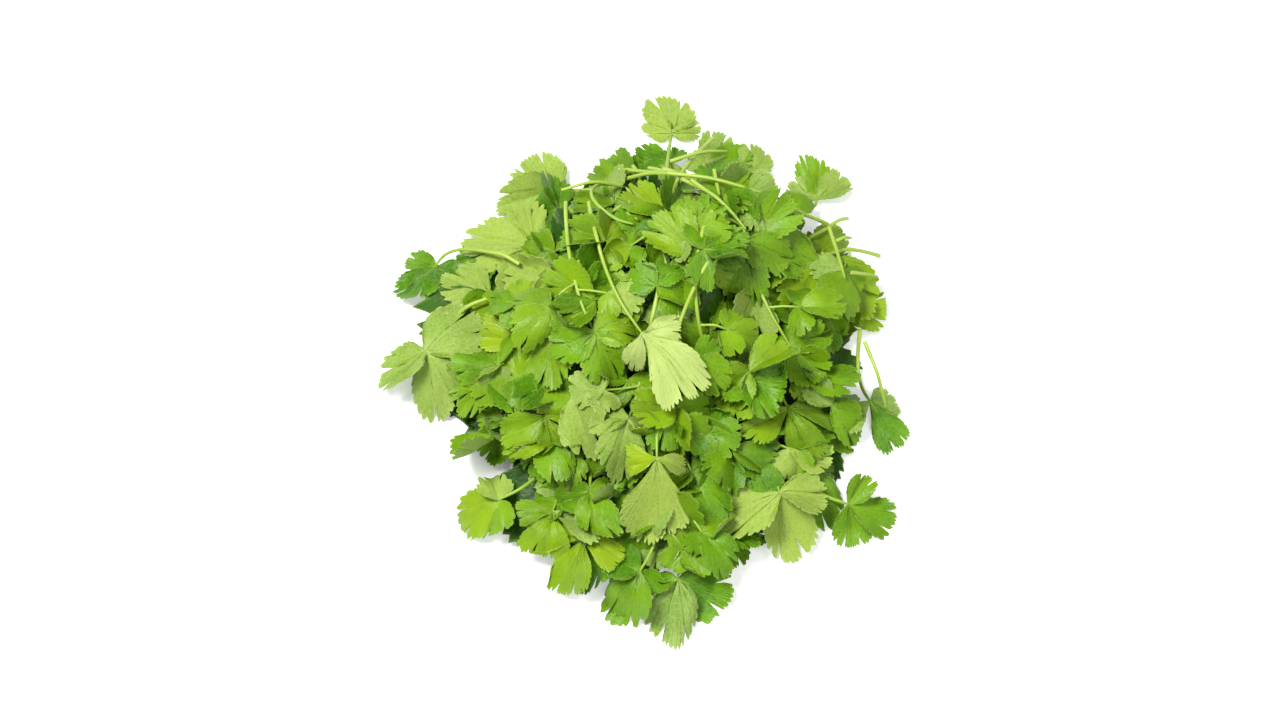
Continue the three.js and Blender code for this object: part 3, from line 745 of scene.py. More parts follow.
    def _under_stems(self) -> list[StemSpec]:
        """Returns the stems beneath, whose leaves stand round the heap on a sunflower's spiral."""
        specs = []
        for i in range(UNDER_STEMS):
            draws = Draws(UNDER_SEED + i)
            turn = i * GOLDEN_ANGLE
            reach = UNDER_REACH * math.sqrt((i + UNDER_FIRST) / UNDER_STEMS)
            specs.append(
                StemSpec(
                    name=f"under_{i + 1:02d}",
                    x=reach * math.cos(math.radians(turn)),
                    y=reach * math.sin(math.radians(turn)) + UNDER_SHIFT,
                    facing=turn + draws.between(UNDER_FACING),
                    leaf=draws.between(UNDER_LEAF),
                    edge=Edge.PLAIN,
                    cast=Cast.SHADED,
                    level=UNDER_LEVEL * i / UNDER_STEMS,
                    relief=UNDER_RELIEF,
                )
            )
        return specs

    def _cut_end(self, spec: StemSpec, draws: Draws) -> Pair:
        """Returns where a stem was cut: in the gathered ends, or on the way there."""
        around = draws.turn()
        out = GATHER_SPREAD * math.sqrt(draws.next())
        end = (GATHER[0] + out * math.cos(around), GATHER[1] + out * math.sin(around))
        share = min(1, LONGEST_STEM / math.hypot(end[0] - spec.x, end[1] - spec.y))
        return spec.x + (end[0] - spec.x) * share, spec.y + (end[1] - spec.y) * share

    def _lay_stem(self, spec: StemSpec, draws: Draws) -> LaidStem:
        """Lays one leafy stem on the heap."""
        start = spec.start or self._cut_end(spec, draws)
        hub = np.array((spec.x, spec.y, spec.level * heap_height(spec.x, spec.y)))
        cut = np.array((*start, spec.level * heap_height(*start)))
        facing = math.radians(spec.facing)
        course = stem_course(cut, hub, facing, spec.level * draws.between(STEM_ARCH))
        laid = LaidStem(spec)
        laid.leaves.append(self._lay_leaf(course, CUT_END_RADIUS, facing, spec.leaf, spec, draws))
        laid.courses.append(Course(course, CUT_END_RADIUS, TIP_RADIUS))
        small = replace(spec, edge=Edge.SMALL, spread=SPREAD, wings=1)
        for i, side in enumerate(spec.sides):
            back = draws.between(SIDE_LEAF_BACK) + SIDE_LEAF_STEP * (i // 2)
            root, way = place_on_course(course, back)
            turn = way + side * math.radians(STALK_TURN)
            stalk = stalk_course(root, turn, draws.between(STALK_LENGTH))
            size = spec.leaf * draws.between(SIDE_LEAF_SIZE)
            laid.leaves.append(self._lay_leaf(stalk, STALK_RADIUS, turn, size, small, draws))
            stalk[0, 2] = root[2]
            laid.courses.append(Course(stalk, STALK_RADIUS, STALK_RADIUS))
        return laid

    def _lay_leaf(
        self, course: np.ndarray, radius: float, facing: float, size: float, spec: StemSpec, draws: Draws
    ) -> Leaf:
        """Lays a leaf at the end of its course, which rises with it."""
        cells = step_cells(course, radius)
        bend_clear(self.tops, course, cells, radius + CLEARANCE)
        laid = course[-1].copy()
        side = math.radians(spec.spread)
        wings = tuple(spec.wings * share for share in SIDE_LEAFLET_SIZE)
        leaflets = [
            self._leaflet(draws, facing - side, laid, size, wings, SIDE_LEAFLET_OFFSET, spec),
            self._leaflet(draws, facing, laid, size, END_LEAFLET_SIZE, END_LEAFLET_OFFSET, spec),
            self._leaflet(draws, facing + side, laid, size, wings, SIDE_LEAFLET_OFFSET, spec),
        ]
        corners, facets = self._blade(laid, facing, leaflets)
        before = corners[:, 2].copy()
        corners[HUB_CORNERS:, 2] = np.maximum(before[HUB_CORNERS:], BLADE_THICKNESS)
        blade_cells = [facet_cell(corners, facet) for facet in facets]
        bend_clear(self.tops, corners, blade_cells, CLEARANCE + BLADE_ROOM)
        level = max(course[-1, 2], corners[:HUB_CORNERS, 2].max())
        course[-1, 2] = level
        corners[:HUB_CORNERS, 2] = level
        for blade_cell in blade_cells:
            self.tops.raise_to(blade_cell.places, blade_cell.heights(corners) + BLADE_ROOM)
        for cell in cells:
            self.tops.raise_to(cell.places, cell.heights(course) + TUBE_ROOM * radius)
        self.tops.slope_cliffs()
        return Leaf(course[-1].copy(), laid, leaflets, corners, corners[:, 2] - before)

    def _leaflet(
        self,
        draws: Draws,
        turn: float,
        hub: np.ndarray,
        size: float,
        sizes: Pair,
        offset: float,
        spec: StemSpec,
    ) -> Leaflet:
        """Draws how one leaflet is shaped and lies."""
        out = hub[:2] + SLOPE_STEP * np.array((math.cos(turn), math.sin(turn)))
        fall = (heap_height(*out) - heap_height(*hub[:2])) / SLOPE_STEP
        narrowing = min(1, (spec.spread / SPREAD) ** FAN_NARROWING)
        relief = spec.relief
        return Leaflet(
            turn=turn + math.radians(draws.between(LEAFLET_TURN)),
            length=size * draws.between(sizes),
            fan=draws.between(LEAFLET_FAN) * narrowing,
            edge=spec.edge,
            offset=offset,
            slope=fall + relief * draws.between(LEAFLET_SLOPE),
            arch=relief * draws.between(LEAFLET_ARCH),
            cup=relief * draws.between(LEAFLET_CUP),
            fold=relief * draws.between(LEAFLET_FOLD),
            roll=relief * draws.between(LEAFLET_ROLL),
            ripple=relief * draws.between(LEAFLET_RIPPLE),
            phase=draws.turn(),
        )

    def _blade(
        self, hub: np.ndarray, facing: float, leaflets: list[Leaflet]
    ) -> tuple[np.ndarray, list[list[int]]]:
        """Returns a leaf's corners, those round the hub first, and the facets between them."""
        turns = [facing + quarter * math.pi / 4 for quarter in (-3, -1, 1, 3)]
        corners = [
            np.array([[hub[0] + HUB_RADIUS * math.cos(t), hub[1] + HUB_RADIUS * math.sin(t), hub[2]]])
            for t in turns
        ]
        facets = [[0, 1, 2], [0, 2, 3]]
        count = HUB_CORNERS
        for n, leaflet in enumerate(leaflets):
            degrees, shares = np.array(leaflet.edge.value).T
            angles = np.radians(degrees * leaflet.fan)
            base = leaflet.offset * leaflet.length
            reach = shares * leaflet.length
            along = np.append(base + reach * np.cos(angles), base + RIB_MIDDLE * leaflet.length)
            across = np.append(reach * np.sin(angles), 0)
            corners.append(leaflet.places(hub, along, across))
            edge = list(range(count, count + len(degrees)))
            middle = count + len(degrees)
            around = [n, *edge, n + 1]
            facets += [[middle, a, b] for a, b in zip(around, [*around[1:], n])]
            count = middle + 1
        return np.vstack(corners), facets


# ---- Finishes ----

Colour = tuple[float, float, float]
Fade = tuple[float, float, float, float]  # start, end, and the values there
Socket = bpy.types.NodeSocket

SHADE = (0.012, 0.060, 0.000)  # of the leaves beneath, where little light gets

MAIN_VEIN_WIDTH = 0.03
MAIN_VEIN_START = 0.05
VEIN_FADE_IN = 0.12
SIDE_VEINS = 4  # of a lobe
SIDE_VEIN_WIDTH = 0.1
SIDE_VEIN_END = 1.1
SIDE_VEIN_ROOT = 0.02
FIELDS = 430  # per metre, between the finest veins
FIELD_LINE = 0.35
NET_SHARE = 0.45
NET_WIDTH = 0.3
DRIFT_SCALE = 60
DRIFT_LIMITS = (0.35, 0.65)
MOTTLE_SCALE = 150
MOTTLE_SHARE = 0.3
BLISTER_SCALE = 420
BLISTER_SHARE = 0.6
FIELD_SHARE = 0.35
VEIN_HEIGHT = 0.5
BLISTER_HEIGHT = 0.7
RELIEF_STRENGTH = 0.6
GLOW_SHARE = 0.35  # of the leaf's own colour in the light that comes through it
# The palest leaves, the crown's, pale towards the vein colour past a tone of 1.2: partly their own pale
# colour, partly painted light.
PALING_AND_PAINTED_LIGHT: Fade = (1.2, 2, 0, 0.75)
SHADING: Fade = (-0.2, -1, 0, 0.85)
PALE_BASE: Fade = (0.3, 0.0, 0, 0.35)
PALE_EDGE: Fade = (0.93, 1.0, 0, 0.3)


@dataclass
class Graph:
    """A material's node tree, with short ways to add the nodes that the finishes need."""

    tree: bpy.types.NodeTree

    def node(self, kind: str, **settings: object) -> bpy.types.Node:
        """Adds a node and gives it its settings."""
        made = self.tree.nodes.new(kind)
        for name, value in settings.items():
            setattr(made, name, value)
        return made

    def fill(self, socket: Socket, value: Socket | float | Colour) -> None:
        """Links a socket to another one, or sets it to a number or a colour."""
        if isinstance(value, bpy.types.NodeSocket):
            self.tree.links.new(value, socket)
        elif isinstance(value, tuple) and socket.type == "RGBA":
            socket.default_value = (*value, 1)
        else:
            socket.default_value = value

    def math(self, operation: str, first: Socket | float, second: Socket | float = 0) -> Socket:
        """Returns the result of a sum of two numbers."""
        made = self.node("ShaderNodeMath", operation=operation)
        self.fill(made.inputs[0], first)
        self.fill(made.inputs[1], second)
        return made.outputs[0]

    def fade(self, value: Socket, start: float, end: float, low: float = 0, high: float = 1) -> Socket:
        """Returns low where the value is at start, high where it is at end, and a smooth step between."""
        made = self.node("ShaderNodeMapRange", interpolation_type="SMOOTHSTEP")
        for socket, number in zip(made.inputs, (value, start, end, low, high)):
            self.fill(socket, number)
        return made.outputs[0]

    def mix(self, share: Socket | float, first: Socket | Colour, second: Socket | Colour) -> Socket:
        """Returns a mix of two colours."""
        made = self.node("ShaderNodeMix", data_type="RGBA")
        self.fill(made.inputs["Factor"], share)
        self.fill(made.inputs[6], first)
        self.fill(made.inputs[7], second)
        return made.outputs[2]

    def noise(self, place: Socket, scale: float, detail: float = 2) -> Socket:
        """Returns a noise between 0 and 1 with a number of features per metre."""
        made = self.node("ShaderNodeTexNoise")
        self.fill(made.inputs["Vector"], place)
        self.fill(made.inputs["Scale"], scale)
        self.fill(made.inputs["Detail"], detail)
        return made.outputs["Fac"]

    def fields(self, place: Socket, scale: float) -> Socket:
        """Returns small fields that bulge between lines: 0 on the lines and about 1 in a field's middle."""
        cells = self.node("ShaderNodeTexVoronoi", feature="DISTANCE_TO_EDGE")
        self.fill(cells.inputs["Vector"], place)
        self.fill(cells.inputs["Scale"], scale)
        return self.fade(cells.outputs["Distance"], 0, FIELD_LINE)

    def attribute(self, name: str) -> Socket:
        """Returns a piece's own number per point."""
        return self.node("ShaderNodeAttribute", attribute_name=name).outputs["Fac"]

    def bump(self, height: Socket, strength: float, distance: float) -> Socket:
        """Returns the normal of a surface with small heights."""
        made = self.node("ShaderNodeBump")
        self.fill(made.inputs["Strength"], strength)
        self.fill(made.inputs["Distance"], distance)
        self.fill(made.inputs["Height"], height)
        return made.outputs["Normal"]


def fresh_material(name: str) -> tuple[bpy.types.Material, Graph, bpy.types.Node, bpy.types.Node]:
    """Makes a material with a bare Principled shader.

    Args:
        name: the material's name.

    Returns:
        The material, its graph, its shader and its output.
    """
    made = bpy.data.materials.new(name)
    made.use_nodes = True
    made.node_tree.nodes.clear()
    graph = Graph(made.node_tree)
    shader = graph.node("ShaderNodeBsdfPrincipled")
    output = graph.node("ShaderNodeOutputMaterial")
    graph.fill(output.inputs["Surface"], shader.outputs["BSDF"])
    return made, graph, shader, output


@dataclass(frozen=True)
class SideVeins:
    """The side veins of a lobe that begin at one distance from the leaflet's base.

    Attributes:
        start: that distance, as a share of the way to the edge.
        strength: as a share of the main vein's.
        shift: of their places across the lobe; a half sets them between another set's.
    """

    start: float
    strength: float
    shift: float


SIDE_VEIN_SETS = (SideVeins(0.22, 0.8, 20.0), SideVeins(0.45, 0.6, 20.5))


@dataclass(frozen=True)
class LeafFinish:
    """One side of a leaf: green between veins that fan out from the leaflet's base.

    Attributes:
        name: the material's name.
        deep, light: its greens, which drift into each other.
        yellow: what it turns to as it ages, and partly painted light for the yellower casts.
        vein: of the veins and the leaflet's base.
        glow: of the light that comes through it.
        roughness, shine: of its surface.
        relief: of its veins, in metres; they are sunk where it is negative.
        through: share of light that it lets through.
        contrast: of its veins.
    """

    name: str
    deep: Colour
    light: Colour
    yellow: Colour
    vein: Colour
    glow: Colour
    roughness: float
    shine: float
    relief: float
    through: float
    contrast: float

    def build(self) -> bpy.types.Material:
        """Returns the material."""
        made, graph, shader, output = fresh_material(self.name)
        place = graph.node("ShaderNodeTexCoord").outputs["Object"]
        split = graph.node("ShaderNodeSeparateXYZ")
        graph.fill(split.inputs[0], graph.node("ShaderNodeUVMap", uv_map="surface").outputs["UV"])
        out = split.outputs[1]
        veins = self._veins(graph, out)
        fields = graph.fields(place, FIELDS)
        base = self._base(graph, place, out, veins, fields)
        normal = self._normal(graph, place, veins, fields)
        graph.fill(shader.inputs["Base Color"], base)
        graph.fill(shader.inputs["Roughness"], self.roughness)
        graph.fill(shader.inputs["Specular IOR Level"], self.shine)
        graph.fill(shader.inputs["Normal"], normal)
        glow = graph.node("ShaderNodeBsdfTranslucent")
        graph.fill(glow.inputs["Color"], graph.mix(GLOW_SHARE, self.glow, base))
        graph.fill(glow.inputs["Normal"], normal)
        both = graph.node("ShaderNodeMixShader")
        graph.fill(both.inputs[0], self.through)
        graph.fill(both.inputs[1], shader.outputs["BSDF"])
        graph.fill(both.inputs[2], glow.outputs["BSDF"])
        graph.fill(output.inputs["Surface"], both.outputs["Shader"])
        return made

    def _veins(self, graph: Graph, out: Socket) -> Socket:
        """Returns where veins run: one down the middle of each lobe, and sets that branch off it.

        Args:
            graph: the material's graph.
            out: the place from the base to the edge, 0 to 1.
        """
        lobe = graph.math("SUBTRACT", graph.math("FRACT", graph.attribute("lobe")), 0.5)
        veins = self._line(graph, lobe, out, MAIN_VEIN_WIDTH, MAIN_VEIN_START)
        for side in SIDE_VEIN_SETS:
            opened = graph.fade(out, side.start, SIDE_VEIN_END, SIDE_VEIN_ROOT, 1)
            turned = graph.math("MULTIPLY", graph.math("DIVIDE", lobe, opened), SIDE_VEINS)
            shifted = graph.math("ADD", turned, side.shift)
            branch = graph.math("SUBTRACT", graph.math("FRACT", shifted), 0.5)
            near = graph.math("LESS_THAN", graph.math("ABSOLUTE", turned), 0.5 * SIDE_VEINS)
            line = graph.math("MULTIPLY", self._line(graph, branch, out, SIDE_VEIN_WIDTH, side.start), near)
            veins = graph.math("MAXIMUM", veins, graph.math("MULTIPLY", line, side.strength))
        return veins

    def _base(self, graph: Graph, place: Socket, out: Socket, veins: Socket, fields: Socket) -> Socket:
        """Returns the leaf's colour.

        Args:
            graph: the material's graph.
            place: where on the object.
            out: the place from the base to the edge, 0 to 1.
            veins: where veins run.
            fields: the small fields between the finest veins.
        """
        tone = graph.attribute("tone")
        drift = graph.fade(graph.noise(place, DRIFT_SCALE, 3), *DRIFT_LIMITS)
        base = graph.mix(drift, self.deep, self.light)
        noise = graph.math("SUBTRACT", graph.noise(place, MOTTLE_SCALE), 0.5)
        mottle = graph.math("MULTIPLY", noise, MOTTLE_SHARE)
        # The tone turns the green yellower: the leaf's own yellowing, and for the yellower casts partly
        # painted light.
        base = graph.mix(graph.fade(graph.math("ADD", tone, mottle), 0, 1), base, self.yellow)
        # Partly the palest leaves' own colour, partly painted light: they pale towards the vein colour.
        base = graph.mix(graph.fade(tone, *PALING_AND_PAINTED_LIGHT), base, self.vein)
        base = graph.mix(graph.fade(fields, NET_WIDTH, 0, 0, NET_SHARE * self.contrast), base, self.vein)
        base = graph.mix(graph.math("MULTIPLY", veins, self.contrast), base, self.vein)
        base = graph.mix(graph.fade(tone, *SHADING), base, SHADE)
        base = graph.mix(graph.fade(out, *PALE_BASE), base, self.vein)
        return graph.mix(graph.fade(out, *PALE_EDGE), base, self.vein)

    def _normal(self, graph: Graph, place: Socket, veins: Socket, fields: Socket) -> Socket:
        """Returns the normal of the leaf's small relief.

        Args:
            graph: the material's graph.
            place: where on the object.
            veins: where veins run.
            fields: the small fields between the finest veins.
        """
        blisters = graph.math(
            "ADD",
            graph.math("MULTIPLY", graph.noise(place, BLISTER_SCALE, 3), BLISTER_SHARE),
            graph.math("MULTIPLY", fields, FIELD_SHARE),
        )
        height = graph.math(
            "ADD",
            graph.math("MULTIPLY", veins, math.copysign(VEIN_HEIGHT, self.relief)),
            graph.math("MULTIPLY", blisters, math.copysign(BLISTER_HEIGHT, -self.relief)),
        )
        return graph.bump(height, RELIEF_STRENGTH, abs(self.relief))

    def _line(self, graph: Graph, aside: Socket, out: Socket, width: float, start: float) -> Socket:
        """Returns where a vein runs.

        Args:
            graph: the material's graph.
            aside: the distance across the fan from the vein's middle.
            out: the place from the base to the edge, 0 to 1.
            width: half the vein's width, in the unit of aside.
            start: how far out it begins.
        """
        line = graph.fade(graph.math("ABSOLUTE", aside), width, 0.0)
        return graph.math("MULTIPLY", line, graph.fade(out, start, start + VEIN_FADE_IN))


@dataclass(frozen=True)
class StemFinish:
    """A stem or stalk: pale where it was cut, greener towards its leaves.

    Attributes:
        name: the material's name.
        pale, green: its colours.
        roughness, shine: of its skin.
        drift, drift_scale: how far its colour wanders, and how often in a metre.
        grain, grain_scale: the height of its skin's relief in metres, and its marks in a metre.
        grain_strength: of that relief.
    """

    name: str
    pale: Colour
    green: Colour
    roughness: float
    shine: float = 0.4
    drift: float = 0.8
    drift_scale: float = 90
    grain: float = 0.0002
    grain_scale: float = 900
    grain_strength: float = 0.3

    def build(self) -> bpy.types.Material:
        """Returns the material."""
        made, graph, shader, _ = fresh_material(self.name)
        place = graph.node("ShaderNodeTexCoord").outputs["Object"]
        noise = graph.math("SUBTRACT", graph.noise(place, self.drift_scale), 0.5)
        drift = graph.math("MULTIPLY", noise, self.drift)
        share = graph.fade(graph.math("ADD", graph.attribute("tone"), drift), 0, 1)
        graph.fill(shader.inputs["Base Color"], graph.mix(share, self.pale, self.green))
        graph.fill(shader.inputs["Roughness"], self.roughness)
        graph.fill(shader.inputs["Specular IOR Level"], self.shine)
        grain = graph.noise(place, self.grain_scale)
        normal = graph.bump(grain, self.grain_strength, self.grain)
        graph.fill(shader.inputs["Normal"], normal)
        return made


@dataclass(frozen=True)
class SurfaceFinish:
    """The pale surface under the heap, with a painted shadow under the heap and painted light round it.

    Attributes:
        name: the material's name.
        colour: round the heap.
        painted_shadow: a painted shadow under the heap, a darker colour where little light gets.
        shadow_lifting_glow: painted light, a glow of its own round the heap that washes out the heap's cast
            shadow.
        cover: where the painted shadow ends, in metres from the heap's middle.
        light: where the glow begins and is full.
        roughness, shine: of its skin.
    """

    name: str = "surface_white"
    colour: Colour = (0.86, 0.86, 0.87)
    # Painted shadow under the heap.
    painted_shadow: Colour = (0.30, 0.34, 0.24)
    # Painted light: a glow round the heap that washes out its cast shadow.
    shadow_lifting_glow: float = 0.4
    cover: Pair = (0.05, 0.08)
    light: Pair = (0.06, 0.1)
    roughness: float = 0.7
    shine: float = 0.2

    def build(self) -> bpy.types.Material:
        """Returns the material."""
        made, graph, shader, _ = fresh_material(self.name)
        place = graph.node("ShaderNodeTexCoord").outputs["Object"]
        measure = graph.node("ShaderNodeVectorMath", operation="LENGTH")
        graph.fill(measure.inputs[0], place)
        away = measure.outputs["Value"]
        # Painted shadow under the heap, which fades into the plain colour round it.
        colour = graph.mix(graph.fade(away, *self.cover), self.painted_shadow, self.colour)
        graph.fill(shader.inputs["Base Color"], colour)
        # Painted light: the surface glows round the heap, which washes out the heap's cast shadow.
        graph.fill(shader.inputs["Emission Color"], (1, 1, 1))
        graph.fill(shader.inputs["Emission Strength"], graph.fade(away, *self.light, 0, self.shadow_lifting_glow))
        graph.fill(shader.inputs["Roughness"], self.roughness)
        graph.fill(shader.inputs["Specular IOR Level"], self.shine)
        return made


UPPER_SIDE = LeafFinish(
    name="leaf_upper_side",
    deep=(0.062, 0.195, 0.002),
    light=(0.142, 0.345, 0.003),
    yellow=(0.330, 0.470, 0.006),
    vein=(0.300, 0.500, 0.060),
    glow=(0.330, 0.600, 0.004),
    roughness=0.42,
    shine=0.3,
    relief=-0.0004,
    through=0.3,
    contrast=0.4,
)
UNDERSIDE = LeafFinish(
    name="leaf_underside",
    deep=(0.185, 0.330, 0.040),
    light=(0.262, 0.405, 0.076),
    yellow=(0.350, 0.485, 0.062),
    vein=(0.560, 0.680, 0.210),
    glow=(0.330, 0.580, 0.010),
    roughness=0.6,
    shine=0.25,
    relief=0.0005,
    through=0.3,
    contrast=0.5,
)
STEM = StemFinish(name="stem_skin", pale=(0.350, 0.465, 0.065), green=(0.215, 0.365, 0.028), roughness=0.45)

# ---- Pieces ----

FEATURE_SEED = 1001
LOBES = 3  # of a leaflet
MOST_NOTCH = 0.5  # of the reach of a leaflet's edge that a notch between two teeth may take


class Slot(Enum):
    """The order of a leafy stem's materials."""

    UPPER = 0
    UNDER = 1
    STEM = 2


@dataclass(frozen=True)
class FineEdge:
    """A leaflet's fine outline, which follows its solid's with narrower gaps between the lobes.

    Attributes:
        hull: its points without the gaps, as (degrees from the rib, share of its length), for one half.
        gap: degrees between the rib and the gap between two lobes.
        depth: of the gap, as a share of the reach there.
        width: half the gap's width, in degrees.
        teeth: of each lobe.
        flank: how hollow its sides are towards the base; 1 is straight, and less is full.
    """

    hull: tuple[Pair, ...]
    gap: float
    depth: float
    width: float
    teeth: tuple[int, int, int]
    flank: float


ROUND_HULL = (
    (0, 1.04), (14, 1.0), (28, 0.98), (42, 0.9), (56, 0.76), (72, 0.6), (90, 0.45), (106, 0.35),
    (120, 0.28),
)
FINE_EDGES = {
    Edge.LOBED: FineEdge(ROUND_HULL, 19, 0.42, 4, (9, 6, 9), 0.85),
    Edge.FAN: FineEdge(
        ((0, 1.05), (10, 1.01), (20, 1.01), (28, 1.04), (35, 1.0), (41, 0.9), (49, 0.72), (58, 0.5)),
        12, 0.22, 3, (9, 6, 9), 1.25,
    ),
    Edge.PLAIN: FineEdge(ROUND_HULL, 18, 0.32, 4.5, (7, 4, 7), 0.85),
    Edge.SMALL: FineEdge(ROUND_HULL, 19, 0.3, 5, (6, 4, 6), 0.85),
}


class Settling:
    """How far each place of a leaflet was raised as it settled: a smooth sheet through its corners."""

    UNIT = 20.0
    STIFFNESS = 2e-3
    NEAREST = 1e-9

    def __init__(self, leaf: Leaf, number: int) -> None:
        """Fits the sheet to the corners round the hub and the leaflet's own.

        Args:
            leaf: the leaf that the leaflet belongs to.
            number: of the leaflet.
        """
        each = (len(leaf.corners) - HUB_CORNERS) // len(leaf.leaflets)
        first = HUB_CORNERS + number * each
        own = [*range(HUB_CORNERS), *range(first, first + each)]
        self.knots = leaf.corners[own, :2] / self.UNIT
        count = len(self.knots)
        plane = np.column_stack((np.ones(count), self.knots))
        system = np.zeros((count + 3, count + 3))
        system[:count, :count] = self._pull(self.knots) + self.STIFFNESS * np.eye(count)
        system[:count, count:] = plane
        system[count:, :count] = plane.T
        self.weights = np.linalg.solve(system, np.append(leaf.lifts[own], np.zeros(3)))

    def _pull(self, places: np.ndarray) -> np.ndarray:
        """Returns how much each corner tells about each place."""
        away = np.linalg.norm(places[:, None] - self.knots[None], axis=2)
        return away**2 * np.log(np.maximum(away, self.NEAREST))

    def at(self, places: np.ndarray) -> np.ndarray:
        """Returns how far some places were raised, given as rows that start with x and y."""
        flat = places[:, :2] / self.UNIT
        plane = np.column_stack((np.ones(len(flat)), flat))
        return np.hstack((self._pull(flat), plane)) @ self.weights


@dataclass
class RolledRim:
    """A part of a leaflet that is rolled up or down round a straight line.

    Attributes:
        way: from the hub to the rim, in radians.
        start: from the hub to the line, in millimetres.
        radius: of the roll, in millimetres.
        most: how far round it goes, in radians.
        up: 1 where it rolls up and -1 where it rolls down.
    """

    FLAT = 0.35  # share of the leaflets that aren't rolled
    ROLLED_DOWN = 0.7  # share of the leaflets that aren't rolled or are rolled down
    ASIDE = 0.6  # share of the rolled ones that are rolled at a side, half of them at the left
    SIDE_WAY = (60, 100)
    SIDE_START = (0.2, 0.45)
    TIP_START = (0.75, 1.1)
    UP_RADIUS = (0.1, 0.18)
    DOWN_RADIUS = 0.25
    UP_MOST = (1.2, 2.4)
    DOWN_MOST = 1.0

    way: float
    start: float
    radius: float
    most: float
    up: int

    @classmethod
    def draw(cls, draws: Draws, leaflet: Leaflet) -> "RolledRim | None":
        """Draws which part of a leaflet is rolled, if any."""
        kind, side, place, tight = (draws.next() for _ in range(4))
        if kind < cls.FLAT:
            return None
        rolled_up = kind > cls.ROLLED_DOWN
        off = 0.0
        start = cls._between(cls.TIP_START, place)
        if side < cls.ASIDE:
            off = math.radians(cls._between(cls.SIDE_WAY, place)) * (1 if side < cls.ASIDE / 2 else -1)
            start = cls._between(cls.SIDE_START, place)
        return cls(
            way=leaflet.turn + off,
            start=start * leaflet.length,
            radius=leaflet.length * (cls._between(cls.UP_RADIUS, tight) if rolled_up else cls.DOWN_RADIUS),
            most=cls._between(cls.UP_MOST, tight) if rolled_up else cls.DOWN_MOST,
            up=1 if rolled_up else -1,
        )

    @staticmethod
    def _between(limits: Pair, share: float) -> float:
        """Returns the number at a share of the way between two limits."""
        return limits[0] + (limits[1] - limits[0]) * share

    def roll(self, places: np.ndarray, hub: np.ndarray) -> None:
        """Rolls rows of x, y and z in place."""
        way = np.array((math.cos(self.way), math.sin(self.way)))
        out = (places[:, :2] - hub[:2]) @ way - self.start
        beyond = out > 0
        turned = np.minimum(out[beyond] / self.radius, self.most)
        spare = np.maximum(0, out[beyond] - self.most * self.radius)
        moved = self.radius * np.sin(turned) + spare * math.cos(self.most)
        lift = self.radius * (1 - np.cos(turned)) + spare * math.sin(self.most)
        places[beyond, :2] += (moved - out[beyond])[:, None] * way
        places[beyond, 2] += self.up * lift


